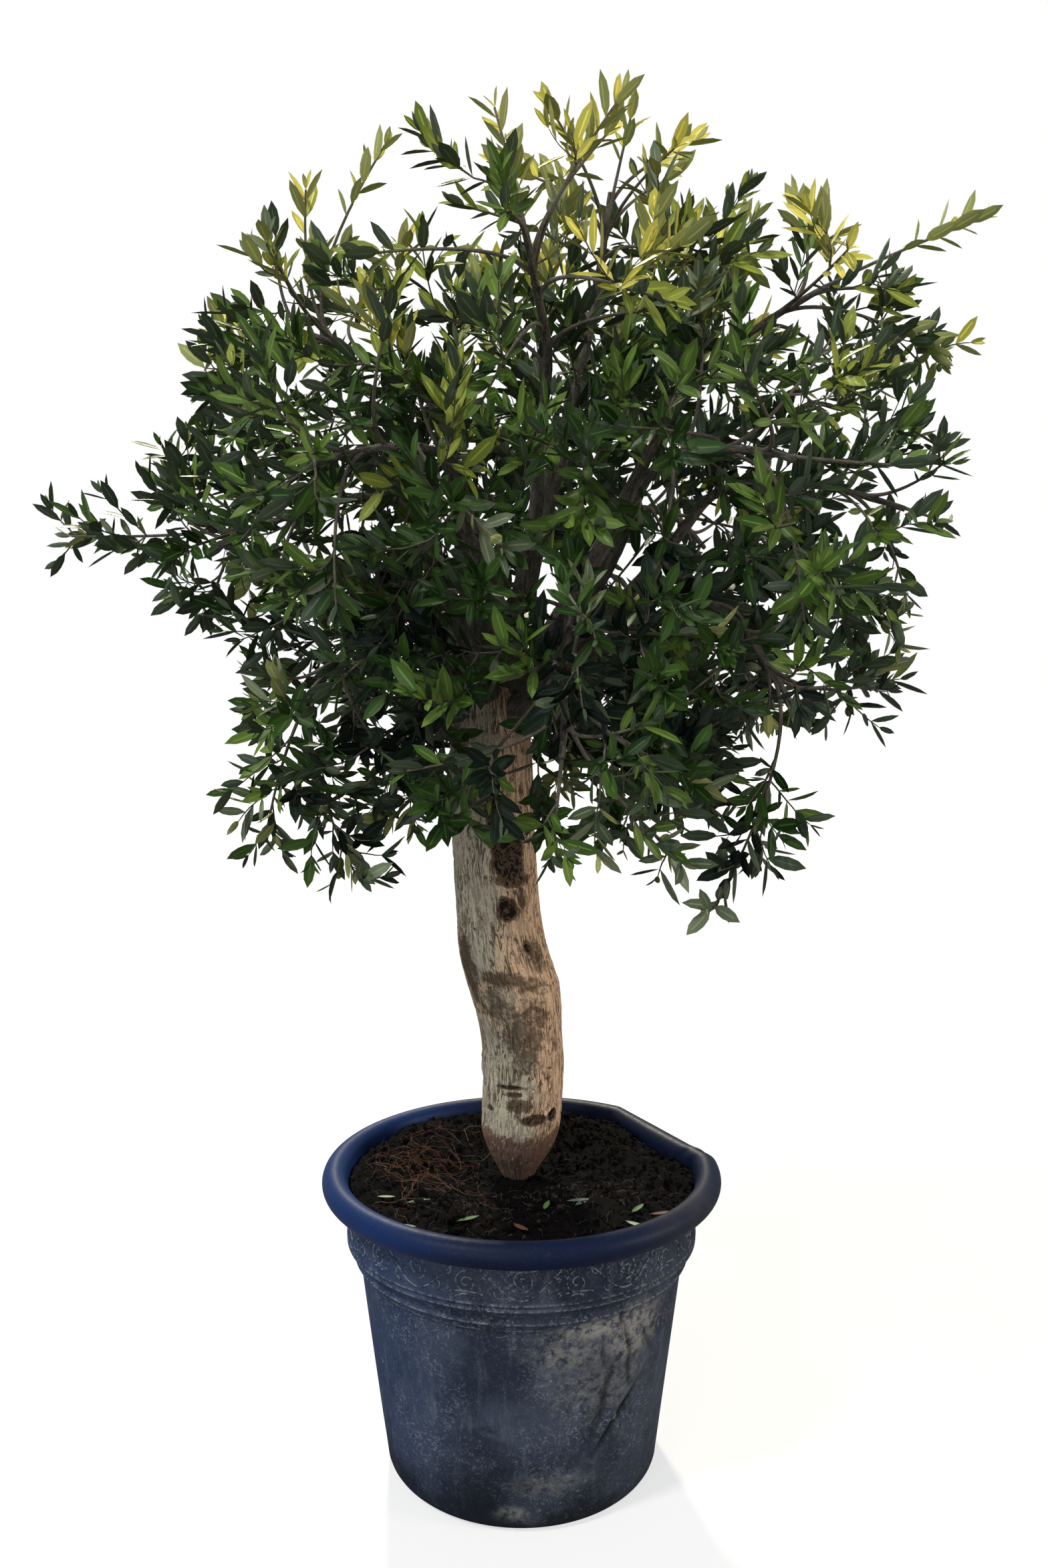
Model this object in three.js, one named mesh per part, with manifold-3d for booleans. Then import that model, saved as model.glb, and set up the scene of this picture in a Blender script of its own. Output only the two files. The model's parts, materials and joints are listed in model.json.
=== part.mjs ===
// A standard olive tree in a rolled-rim nursery pot: one short, thick, slightly crooked trunk, boughs that
// fork from its head, and a round, open crown. Millimetres, +Z up. The pot stands on z = 0, with its axis at
// x = y = 0. The crown's fuller side is +X, and its front is -Y.
import * as THREE from 'three';
import { mergeVertices } from 'three/addons/utils/BufferGeometryUtils.js';
import Module from 'manifold-3d';

const wasm = await Module();
wasm.setup();

const UP = new THREE.Vector3(0, 0, 1);
const GOLDEN_ANGLE = Math.PI * (3 - Math.sqrt(5));
const GAP = 0.3; // between two pieces that touch

// ---- driving sizes: pot and potting soil ----
const POT = {
  height: 458,
  rimRadius: 300, // outside of the rolled rim
  rimTube: 17.5, // radius of the roll
  rollAngles: [155, 110, 65, 20, -25, -75, -130], // round the roll's section, from its inside over the top
  collarRadius: 262, // the ornamented band under the rim
  collarFoot: 342, // height at which the band starts to draw in
  waistRadius: 251, // halfway down the draw-in
  waist: 315,
  shoulder: 297, // height at which the band has met the body
  bodyTopRadius: 240,
  bodyFootRadius: 206,
  footRadius: 186, // flat that it stands on
  footRound: 20, // height of the rounded edge at the foot
  wall: 4,
  floor: 6,
  segments: 30,
};
const DRAIN = { count: 6, ring: 120, radius: 10, sides: 8 };
const DENT = { azimuth: 0.42, width: 0.28, depth: 22, from: 334, full: 438 }; // where the soft rim is pushed in
const SOIL = {
  level: 413, // round the trunk
  rim: 436, // mean height near the wall
  back: 8, // how much higher it lies at the back than on the axis
  ripple: 4,
  rippleLength: 34,
  trunkClearing: 84, // level ground round the trunk's axis
  moundRing: 205,
  levelRing: 75,
};

// ---- driving sizes: trunk, from the cut at soil level to the head: height, sideways and radius ----
const TRUNK = {
  setBack: 48, // behind the pot's axis
  sides: 12,
  rings: 16,
  cut: 6, // what lies this low is on the cut
  stations: [
    [413.3, 6, 42],
    [436, 3, 53],
    [472, -2, 61],
    [590, 2, 63.5],
    [650, -2, 64.5],
    [706, -10, 71],
    [738, -18, 71.5],
    [790, -30, 67],
    [860, -37, 64],
    [970, -44, 63],
    [1065, -47, 62],
    [1125, -48, 55],
    [1160, -48, 40],
  ],
};

// ---- driving sizes: crown ----
// Each mass of foliage lies out from the crown's middle by a compass angle (0 is +X, 90 is +Y) and a rise, in
// degrees. reach is how far it gets from the middle, and core the share of that which it leaves to bare boughs.
// from names the limb that its bough leaves, and at says how far up that limb.
const CROWN_MIDDLE = new THREE.Vector3(50, 30, 1430);
const GIRTH = 250; // a mass's half-width
const HIGH = 0.24;
const LOW = 0.34;
const MASSES = [
  { name: 'top', turn: -10, rise: 80, reach: 590, core: HIGH, from: 'trunk', at: 0.97 },
  { name: 'upper_front', turn: -98, rise: 42, reach: 570, core: HIGH, from: 'top', at: 0.34 },
  { name: 'upper_right', turn: -12, rise: 38, reach: 630, core: HIGH, from: 'trunk', at: 0.94 },
  { name: 'upper_back', turn: 84, rise: 42, reach: 600, core: HIGH, from: 'top', at: 0.22 },
  { name: 'upper_left', turn: 180, rise: 34, reach: 610, core: HIGH, from: 'trunk', at: 0.95 },
  { name: 'front_right', turn: -54, rise: 2, reach: 600, core: HIGH, from: 'trunk', at: 0.9 },
  { name: 'right', turn: -4, rise: 0, reach: 655, core: HIGH, from: 'upper_right', at: 0.16 },
  { name: 'back_right', turn: 54, rise: -2, reach: 600, core: HIGH, from: 'trunk', at: 0.91 },
  { name: 'back_left', turn: 116, rise: 0, reach: 600, core: HIGH, from: 'trunk', at: 0.92 },
  { name: 'left', turn: 181, rise: -6, reach: 645, core: HIGH, from: 'upper_left', at: 0.18 },
  { name: 'front_left', turn: -130, rise: 2, reach: 600, core: HIGH, from: 'trunk', at: 0.93 },
  { name: 'low_front', turn: -90, rise: -44, reach: 610, core: LOW, from: 'front_right', at: 0.2 },
  { name: 'low_right', turn: -26, rise: -38, reach: 565, core: LOW, from: 'front_right', at: 0.14 },
  { name: 'low_back_right', turn: 58, rise: -42, reach: 630, core: LOW, from: 'back_right', at: 0.16 },
  { name: 'low_back_left', turn: 126, rise: -42, reach: 640, core: LOW, from: 'trunk', at: 0.9 },
  { name: 'low_left', turn: 194, rise: -38, reach: 610, core: LOW, from: 'trunk', at: 0.88 },
];
// The longest shoots, by mass: compass angle, rise and reach of each tip from the crown's middle.
const SHOOTS = {
  upper_right: [[-8, 33, 735], [-4, 21, 610]],
  upper_left: [[168, 66, 620], [180, 17, 565]],
  left: [[181, -3, 740], [178, 9, 595]],
  low_front: [[-60, -56, 590]],
  low_right: [[-45, -62, 640], [2, -27, 565]],
  low_left: [[205, -60, 625], [190, -48, 650]],
};
const BOUGH = {
  root: 25,
  share: 0.62, // how thick a bough is that leaves another bough
  tip: 8,
  taper: 0.8,
  sides: 5,
  rings: 4,
  lift: 0.2, // how far it bends from straight, as a share of its sideways run
  intoMass: 0.1, // how far into the mass it ends, as a share of the mass's depth
};
const LEADER = { root: 7.5, tip: 5, end: 0.4, heading: 0.35 };
const TWIG = {
  count: 8,
  foot: 4.4,
  tip: 2.8,
  leastRoom: 120,
  spread: THREE.MathUtils.degToRad(120), // the furthest that a twig's aim leans from the mass's outward line
  wander: 0.6, // how far a twig's turn strays from the even spiral, in radians
  foremost: 0.95, // where along the leader the first and the last twig leave it
  hindmost: 0.12,
  leafRoom: 0.8, // of a leaf's length, kept free past the twig's tip
  shortest: 0.35, // of the way to the edge, for a twig with little room
  leafShares: [0.93, 0.45],
};
const SHOOT = { root: 0.7, grown: 2, leafShares: [0.95, 0.72, 0.45] };
const LEAF = {
  length: 158,
  width: 62,
  thickness: 5,
  widest: 0.45,
  sunk: 0.5, // how far past the twig's middle its root goes
  least: 0.5, // the shortest leaf, as a share of the longest
  facingUp: 0.25, // how far a leaf's face turns up from facing straight out of the crown
  splay: 1.0, // lean from the twig, in radians
  wander: 0.3, // how far that lean strays
  end: 0.985, // where along the twig the last leaf sits
  turnWander: 0.5, // how far a pair strays from lying square across the last
  stagger: 0.045, // between the two leaves of a pair, as a share of the twig
  crossing: 0.5, // the most, in cubic millimetres, that two leaves may share
  swings: [0, 0.5, -0.5, 1], // turns tried where a leaf would cross another
};
const MASS_GAP = 2; // between the spaces of neighbouring masses
const LIMB_GAP = 4; // between foliage and a limb
const SMALLEST = 0.4; // facets finer than this are merged

// ---- shared helpers ----

/** A number stream from 0 to 1 that is the same in every run. */
function numberStream(seed) {
  let state = seed >>> 0;
  return () => {
    state = (Math.imul(state, 1664525) + 1013904223) >>> 0;
    return state / 4294967296;
  };
}

/** The closed solid of a geometry, from its positions alone. */
function solidOf(geometry) {
  const bare = new THREE.BufferGeometry();
  bare.setAttribute('position', geometry.getAttribute('position').clone());
  bare.setIndex(geometry.index);
  const merged = mergeVertices(bare, 1e-4);
  return new wasm.Manifold(
    new wasm.Mesh({
      numProp: 3,
      vertProperties: merged.attributes.position.array,
      triVerts: new Uint32Array(merged.index.array),
    }),
  );
}

/** A named mesh from a solid. */
function meshOf(name, solid, material) {
  const { numProp, vertProperties, triVerts } = solid.getMesh();
  const positions = new Float32Array((vertProperties.length / numProp) * 3);
  for (let i = 0; i < positions.length / 3; i += 1) {
    positions.set(vertProperties.subarray(i * numProp, i * numProp + 3), i * 3);
  }
  const geometry = new THREE.BufferGeometry();
  geometry.setAttribute('position', new THREE.BufferAttribute(positions, 3));
  geometry.setIndex(new THREE.BufferAttribute(triVerts, 1));
  geometry.computeVertexNormals();
  const mesh = new THREE.Mesh(geometry, material);
  mesh.name = name;
  return mesh;
}

/** The largest connected piece of a solid. */
function largestPiece(solid) {
  return solid.decompose().reduce((a, b) => (b.volume() > a.volume() ? b : a));
}

/** Moves every vertex of a geometry by a function of its place. */
function reshape(geometry, move) {
  const position = geometry.getAttribute('position');
  const point = new THREE.Vector3();
  for (let i = 0; i < position.count; i += 1) {
    point.fromBufferAttribute(position, i);
    move(point);
    position.setXYZ(i, point.x, point.y, point.z);
  }
  return geometry;
}

/** The axis that lies least along a direction. */
function axisAside(direction) {
  const sizes = direction.toArray().map(Math.abs);
  return new THREE.Vector3().setComponent(sizes.indexOf(Math.min(...sizes)), 1);
}

/** Two unit vectors square to a direction and to each other, the first of them also square to an axis. */
function squareTo(direction, aside = axisAside(direction)) {
  const first = new THREE.Vector3().crossVectors(aside, direction).normalize();
  const second = new THREE.Vector3().crossVectors(direction, first).normalize();
  return [first, second];
}

/** A closed round limb along a curve, its radius given by a function of the share of the way along. */
function limbGeometry(curve, radiusAt, sides, rings) {
  const geometry = new THREE.CylinderGeometry(1, 1, 1, sides, rings);
  const aside = axisAside(curve.getPoint(1).sub(curve.getPoint(0)).normalize());
  const frames = Array.from({ length: rings + 1 }, (_, i) => squareTo(curve.getTangent(i / rings), aside));
  return reshape(geometry, (point) => {
    const along = point.y + 0.5;
    const radius = Math.hypot(point.x, point.z) < 1e-6 ? 0 : radiusAt(along);
    const turn = Math.atan2(point.x, point.z);
    const [first, second] = frames[Math.round(along * rings)];
    point
      .copy(curve.getPoint(along))
      .addScaledVector(first, radius * Math.cos(turn))
      .addScaledVector(second, radius * Math.sin(turn));
  });
}

/** The direction at a compass angle and a rise, in degrees. */
function directionAt(turn, rise) {
  const flat = THREE.MathUtils.degToRad(turn);
  const up = THREE.MathUtils.degToRad(rise);
  return new THREE.Vector3(Math.cos(flat) * Math.cos(up), Math.sin(flat) * Math.cos(up), Math.sin(up));
}

// ---- pot and soil ----

/** Pushes the rim in where the pot has been knocked. */
function dentAt(point) {
  const radius = Math.hypot(point.x, point.y);
  if (radius < 1) return;
  const away = (Math.atan2(point.y, point.x) - DENT.azimuth) / DENT.width;
  const depth = DENT.depth * Math.exp(-(away ** 2)) * THREE.MathUtils.smoothstep(point.z, DENT.from, DENT.full);
  point.x *= 1 - depth / radius;
  point.y *= 1 - depth / radius;
}

/** A lathed surface about the Z axis, from points of radius and height. */
function lathed(points) {
  const profile = points.map(([radius, height]) => new THREE.Vector2(radius, height));
  return new THREE.LatheGeometry(profile, POT.segments).rotateX(Math.PI / 2);
}

/** The inner face of the pot's wall, from floor to rim, as radius and height. */
function innerWall() {
  return [
    [POT.footRadius - POT.wall, POT.floor],
    [POT.bodyFootRadius - POT.wall, POT.footRound],
    [POT.bodyTopRadius - POT.wall, POT.shoulder + POT.wall],
    [POT.collarRadius - POT.wall, POT.collarFoot + POT.wall],
    [POT.collarRadius - POT.wall, POT.height - 2 * POT.rimTube],
    [POT.rimRadius - 2 * POT.rimTube, POT.height - POT.rimTube],
  ];
}

/** The rolled rim's section, from its inside over the top to its underside. */
function rolledRim() {
  return POT.rollAngles.map((degrees) => {
    const turn = THREE.MathUtils.degToRad(degrees);
    const out = POT.rimRadius - POT.rimTube + POT.rimTube * Math.cos(turn);
    return [out, POT.height - POT.rimTube + POT.rimTube * Math.sin(turn)];
  });
}

/** The outer face of the pot, from under the rim to the middle of its flat underside. */
function outerWall() {
  return [
    [POT.collarRadius, POT.height - 2 * POT.rimTube - 1],
    [POT.collarRadius, POT.collarFoot],
    [POT.waistRadius, POT.waist],
    [POT.bodyTopRadius, POT.shoulder],
    [POT.bodyFootRadius, POT.footRound],
    [(POT.bodyFootRadius * 3 + POT.footRadius) / 4, POT.footRound / 3],
    [POT.footRadius, 0],
    [0, 0],
  ];
}

function makePot() {
  const profile = [[0, POT.floor], ...innerWall(), ...rolledRim(), ...outerWall()].reverse();
  let pot = solidOf(reshape(lathed(profile), dentAt));
  for (let i = 0; i < DRAIN.count; i += 1) {
    const turn = (i * 2 * Math.PI) / DRAIN.count;
    const hole = new THREE.CylinderGeometry(DRAIN.radius, DRAIN.radius, 4 * POT.floor, DRAIN.sides);
    hole.rotateX(Math.PI / 2).translate(DRAIN.ring * Math.cos(turn), DRAIN.ring * Math.sin(turn), 0);
    pot = pot.subtract(solidOf(hole));
  }
  return pot;
}

/** Height of the soil: level round the trunk, and mounded towards the wall and at the back. */
function soilHeight(x, y) {
  const fromTrunk = Math.hypot(x - TRUNK.stations[0][1], y - TRUNK.setBack);
  const edge = THREE.MathUtils.smoothstep(fromTrunk, SOIL.trunkClearing, SOIL.moundRing);
  const ripple = SOIL.ripple * Math.sin(x / SOIL.rippleLength + 1) * Math.cos(y / SOIL.rippleLength);
  return SOIL.level + edge * (SOIL.rim - SOIL.level + (SOIL.back * y) / POT.collarRadius + ripple);
}

function makeSoil() {
  const clear = GAP / Math.cos(Math.PI / POT.segments);
  const side = innerWall()
    .slice(0, 5)
    .map(([radius, height]) => [radius - clear, height + GAP]);
  const brim = POT.collarRadius - POT.wall - clear;
  const rings = [brim, SOIL.moundRing, TRUNK.setBack + SOIL.trunkClearing, SOIL.levelRing, 0];
  const profile = [[0, POT.floor + GAP], ...side, ...rings.map((radius) => [radius, SOIL.rim])];
  const geometry = reshape(lathed(profile.reverse()), (point) => {
    if (point.z > SOIL.rim - 1) point.z = soilHeight(point.x, point.y);
    dentAt(point);
  });
  geometry.index.array.reverse(); // facing outwards, and creased in the dent as the wall is
  return solidOf(geometry);
}

// ---- trunk and boughs ----

const trunkCurve = new THREE.CatmullRomCurve3(
  TRUNK.stations.map(([height, sideways]) => new THREE.Vector3(sideways, TRUNK.setBack, height)),
);

/** The trunk's radius at a share of its stations. */
function trunkRadius(share) {
  const place = share * (TRUNK.stations.length - 1);
  const below = Math.min(Math.floor(place), TRUNK.stations.length - 2);
  return THREE.MathUtils.lerp(TRUNK.stations[below][2], TRUNK.stations[below + 1][2], place - below);
}

/** The trunk, grown at its side and head by a margin, with its foot cut flat. */
function makeTrunk(margin = 0) {
  const foot = TRUNK.stations[0][0];
  const head = TRUNK.stations.at(-1)[0];
  const geometry = limbGeometry(trunkCurve, (share) => trunkRadius(share) + margin, TRUNK.sides, TRUNK.rings);
  return solidOf(
    reshape(geometry, (point) => {
      if (point.z < foot + TRUNK.cut) point.z = foot;
      if (point.z > head - 1) point.z += margin;
    }),
  );
}

/** Adds to a mass its place: its outward direction, middle, half-depth, sides and the tip of its bough. */
function placeMass(mass) {
  const outward = directionAt(mass.turn, mass.rise);
  const inner = mass.reach * mass.core;
  const halfDepth = (mass.reach - inner) / 2;
  const middle = CROWN_MIDDLE.clone().addScaledVector(outward, inner + halfDepth);
  const entry = CROWN_MIDDLE.clone().addScaledVector(outward, inner + halfDepth * 2 * BOUGH.intoMass);
  return { ...mass, outward, halfDepth, middle, entry, sides: squareTo(outward) };
}

const masses = MASSES.map(placeMass);

/** The line of a mass's bough: it leaves its parent limb, bends, and ends inside the mass's inner edge. */
function boughCurve(mass) {
  const parent = masses.find((other) => other.name === mass.from);
  const start = (parent ? boughCurve(parent) : trunkCurve).getPointAt(mass.at);
  const span = mass.entry.clone().sub(start);
  const sag = (span.z > 0 ? -1 : 1) * BOUGH.lift * Math.hypot(span.x, span.y);
  const bend = start.clone().addScaledVector(span, 0.5).addScaledVector(UP, sag);
  return new THREE.QuadraticBezierCurve3(start, bend, mass.entry);
}

/** A bough's radius at a share of its length: boughs that leave another bough are thinner. */
function boughRadius(mass, share) {
  const root = mass.from === 'trunk' ? BOUGH.root : BOUGH.root * BOUGH.share;
  return THREE.MathUtils.lerp(root, BOUGH.tip, share ** BOUGH.taper);
}

function makeBough(mass, margin = 0) {
  const radiusAt = (share) => boughRadius(mass, share) + margin;
  return solidOf(limbGeometry(boughCurve(mass), radiusAt, BOUGH.sides, BOUGH.rings));
}

/** Straight stretches of every limb with their radii, for keeping foliage clear of them. */
function limbStretches() {
  const stretches = [];
  const add = (owner, curve, radiusAt, count) => {
    for (let i = 0; i < count; i += 1) {
      const line = new THREE.Line3(curve.getPoint(i / count), curve.getPoint((i + 1) / count));
      stretches.push({ owner, line, radius: Math.max(radiusAt(i / count), radiusAt((i + 1) / count)) });
    }
  };
  add('trunk', trunkCurve, trunkRadius, TRUNK.rings);
  for (const mass of masses) add(mass.name, boughCurve(mass), (share) => boughRadius(mass, share), BOUGH.rings);
  return stretches;
}

const stretches = limbStretches();

/** Whether a straight line of some half-width passes clear of every limb, but for one that it may touch. */
function clearOfLimbs(start, end, halfWidth, own) {
  const probe = new THREE.Vector3();
  const nearest = new THREE.Vector3();
  const steps = Math.max(2, Math.ceil(start.distanceTo(end) / (3 * LIMB_GAP)));
  for (let i = 0; i <= steps; i += 1) {
    probe.lerpVectors(start, end, i / steps);
    for (const { owner, line, radius } of stretches) {
      if (owner === own) continue;
      line.closestPointToPoint(probe, true, nearest);
      if (nearest.distanceTo(probe) < radius + halfWidth + LIMB_GAP) return false;
    }
  }
  return true;
}

// ---- foliage ----

/** The planes halfway to the neighbouring masses, which a mass keeps behind. */
function wallsOf(mass) {
  return masses
    .filter((other) => other !== mass)
    .map((other) => {
      const normal = other.middle.clone().sub(mass.middle);
      const half = normal.length() / 2;
      normal.normalize();
      return { normal, offset: normal.dot(mass.middle) + half - MASS_GAP / 2 };
    });
}

/** A vector in a mass's own measure: a length of 1 from its middle reaches the edge of its egg-shaped space. */
function inOwnMeasure(mass, vector) {
  const [first, second] = mass.sides;
  return new THREE.Vector3(
    vector.dot(mass.outward) / mass.halfDepth,
    vector.dot(first) / GIRTH,
    vector.dot(second) / GIRTH,
  );
}

/** How far a straight line from a point can go before it leaves the mass's space, grown by a factor. */
function roomAlong(mass, walls, point, direction, grown) {
  const place = inOwnMeasure(mass, point.clone().sub(mass.middle));
  const pace = inOwnMeasure(mass, direction);
  const a = pace.lengthSq();
  const b = place.dot(pace);
  const c = place.lengthSq() - grown ** 2;
  let room = (-b + Math.sqrt(Math.max(b * b - a * c, 0))) / a;
  for (const { normal, offset } of walls) {
    const closing = normal.dot(direction);
    if (closing > 1e-6) room = Math.min(room, (offset - normal.dot(point)) / closing);
  }
  return room;
}

/** Whether all points lie behind the mass's walls. */
function behindWalls(walls, points) {
  return points.every((point) => walls.every(({ normal, offset }) => normal.dot(point) < offset));
}

/** One keeled leaf of six faces from its root towards its tip, or null where it has no room. */
function leafSolid(walls, root, direction, room) {
  const length = Math.min(LEAF.length, room - 1);
  if (length < LEAF.length * LEAF.least) return null;
  const face = root.clone().addScaledVector(direction, length / 2).sub(CROWN_MIDDLE).normalize();
  face.addScaledVector(UP, LEAF.facingUp);
  const across = new THREE.Vector3().crossVectors(direction, face).normalize();
  const normal = new THREE.Vector3().crossVectors(across, direction).normalize();
  const halfWidth = (LEAF.width / 2) * (length / LEAF.length);
  const geometry = reshape(new THREE.SphereGeometry(1, 3, 2), (point) => {
    const { x, y, z } = point;
    const along = y > 0.5 ? length : y < -0.5 ? -LEAF.sunk : length * LEAF.widest;
    point
      .copy(root)
      .addScaledVector(direction, along)
      .addScaledVector(across, (z * halfWidth) / Math.sin(Math.PI / 3))
      .addScaledVector(normal, (-x * LEAF.thickness) / 1.5);
  });
  const { array, count } = geometry.getAttribute('position');
  const corners = Array.from({ length: count }, (_, i) => new THREE.Vector3().fromArray(array, i * 3));
  const tip = root.clone().addScaledVector(direction, length);
  if (!behindWalls(walls, corners) || !clearOfLimbs(root, tip, halfWidth)) return null;
  return solidOf(geometry);
}

/** A direction leant away from an axis by an angle, at a turn about it. */
function leantFrom(axis, lean, turn) {
  const [first, second] = squareTo(axis);
  return axis
    .clone()
    .multiplyScalar(Math.cos(lean))
    .addScaledVector(first, Math.sin(lean) * Math.cos(turn))
    .addScaledVector(second, Math.sin(lean) * Math.sin(turn));
}

/**
 * Adds the leaves of a shoot to those of its mass: a pair at each share of its length, each pair across the
 * last, then one at its end. A leaf that would cut through an earlier one is turned, or left out.
 */
function growLeaves(mass, walls, leaves, { curve, shares, grown }, random) {
  let all = leaves;
  const add = (share, lean, turn) => {
    const root = curve.getPoint(share);
    for (const swing of LEAF.swings) {
      const direction = leantFrom(curve.getTangent(share), lean, turn + swing);
      const room = Math.min(roomAlong(mass, walls, root, direction, grown), LEAF.length + 1);
      const leaf = leafSolid(walls, root, direction, room);
      if (leaf && all.intersect(leaf).volume() < LEAF.crossing) {
        all = all.add(leaf);
        return;
      }
    }
  };
  let turn = random() * Math.PI;
  for (const share of shares) {
    for (const side of [0, 1]) {
      const lean = LEAF.splay + LEAF.wander * (random() - 0.5);
      add(share - side * LEAF.stagger, lean, turn + side * Math.PI);
    }
    turn += Math.PI / 2 + LEAF.turnWander * (random() - 0.5);
  }
  add(LEAF.end, LEAF.wander * random(), 2 * Math.PI * random());
  return all;
}

/** The mass's leading stem, from just clear of its bough's tip out into the mass. */
function leaderOf(mass) {
  const heading = boughCurve(mass).getTangent(1);
  const start = mass.entry.clone().addScaledVector(heading, GAP);
  const end = mass.middle.clone().addScaledVector(mass.outward, mass.halfDepth * LEADER.end);
  const bend = start.clone().addScaledVector(heading, start.distanceTo(end) * LEADER.heading);
  return new THREE.QuadraticBezierCurve3(start, bend, end);
}

/** The line of a twig from the leader towards a point, ending most of a leaf's length short of it, or null. */
function twigTowards(mass, walls, root, target, grown) {
  const direction = target.clone().sub(root).normalize();
  const room = Math.min(roomAlong(mass, walls, root, direction, grown), root.distanceTo(target));
  if (room < TWIG.leastRoom) return null;
  const length = Math.max(room - TWIG.leafRoom * LEAF.length, room * TWIG.shortest);
  const tip = root.clone().addScaledVector(direction, length);
  const clear = behindWalls(walls, [tip]) && clearOfLimbs(root, tip, TWIG.foot + LIMB_GAP, mass.name);
  return clear ? new THREE.LineCurve3(root, tip) : null;
}

/** The twigs of a mass: evenly round its outside by the golden angle, then its longest shoots. */
function twigsOf(mass, walls, leader, random) {
  const twigs = [];
  const [first, second] = mass.sides;
  for (let i = 0; i < TWIG.count; i += 1) {
    const share = (i + 0.7) / TWIG.count;
    const lean = Math.acos(1 - share * (1 - Math.cos(TWIG.spread)));
    const turn = i * GOLDEN_ANGLE + TWIG.wander * (random() - 0.5);
    const target = mass.middle
      .clone()
      .addScaledVector(mass.outward, Math.cos(lean) * mass.halfDepth)
      .addScaledVector(first, Math.sin(lean) * Math.cos(turn) * GIRTH)
      .addScaledVector(second, Math.sin(lean) * Math.sin(turn) * GIRTH);
    const root = leader.getPoint(THREE.MathUtils.lerp(TWIG.foremost, TWIG.hindmost, share));
    const curve = twigTowards(mass, walls, root, target, 1);
    if (curve) twigs.push({ curve, shares: TWIG.leafShares, grown: 1 });
  }
  for (const [turn, rise, reach] of SHOOTS[mass.name] ?? []) {
    const target = directionAt(turn, rise).multiplyScalar(reach).add(CROWN_MIDDLE);
    const curve = twigTowards(mass, walls, leader.getPoint(SHOOT.root), target, SHOOT.grown);
    if (curve) twigs.push({ curve, shares: SHOOT.leafShares, grown: SHOOT.grown });
  }
  return twigs;
}

function makeFoliage(mass, seed) {
  const random = numberStream(seed);
  const walls = wallsOf(mass);
  const leader = leaderOf(mass);
  const twigs = twigsOf(mass, walls, leader, random);
  const stemOf = (curve, foot, tip, rings) =>
    solidOf(limbGeometry(curve, (share) => THREE.MathUtils.lerp(foot, tip, share), 3, rings));
  let stems = stemOf(leader, LEADER.root, LEADER.tip, 2);
  let leaves = wasm.Manifold.union([]);
  for (const twig of [{ curve: leader, shares: [], grown: 1 }, ...twigs]) {
    if (twig.curve !== leader) stems = stems.add(stemOf(twig.curve, TWIG.foot, TWIG.tip, 1));
    leaves = growLeaves(mass, walls, leaves, twig, random);
  }
  return largestPiece(stems.add(leaves).simplify(SMALLEST));
}

// ---- the whole plant ----

const plastic = new THREE.MeshStandardMaterial({ color: 0x1b2030, roughness: 0.5, metalness: 0 });
const earth = new THREE.MeshStandardMaterial({ color: 0x120d0a, roughness: 1, metalness: 0 });
const bark = new THREE.MeshStandardMaterial({ color: 0x8a7a64, roughness: 0.9, metalness: 0 });
const leafGreen = new THREE.MeshStandardMaterial({ color: 0x33502a, roughness: 0.45, metalness: 0 });

const potted = new THREE.Group();
potted.add(meshOf('pot', makePot(), plastic));
potted.add(meshOf('soil', makeSoil(), earth));

const wood = new THREE.Group();
wood.add(meshOf('trunk', makeTrunk(), bark));
let taken = makeTrunk(GAP);
for (const mass of masses) {
  const bough = largestPiece(makeBough(mass).subtract(taken));
  wood.add(meshOf('bough_' + mass.name, bough, bark));
  taken = taken.add(makeBough(mass, GAP));
}

const crown = new THREE.Group();
masses.forEach((mass, i) => {
  crown.add(meshOf('foliage_' + mass.name, makeFoliage(mass, 101 + i), leafGreen));
});

potted.add(wood, crown);
export default potted;
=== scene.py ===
"""A potted olive tree: a short standard with a thick crooked trunk, a round open crown and a rolled-rim pot.

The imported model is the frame. The classes below dress it: the pot with its moulded scrolls and knocks, the
potting soil with its litter, the bark of trunk and boughs, and the twigs, leaves and fruit of the crown.
Metres, +Z up. The pot stands on z = 0, with its axis at x = y = 0. The crown's front is -Y.
"""

import json
import logging
import math
from collections.abc import Callable, Iterator, Sequence
from dataclasses import dataclass
from enum import Enum
from functools import cached_property
from typing import NamedTuple

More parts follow.
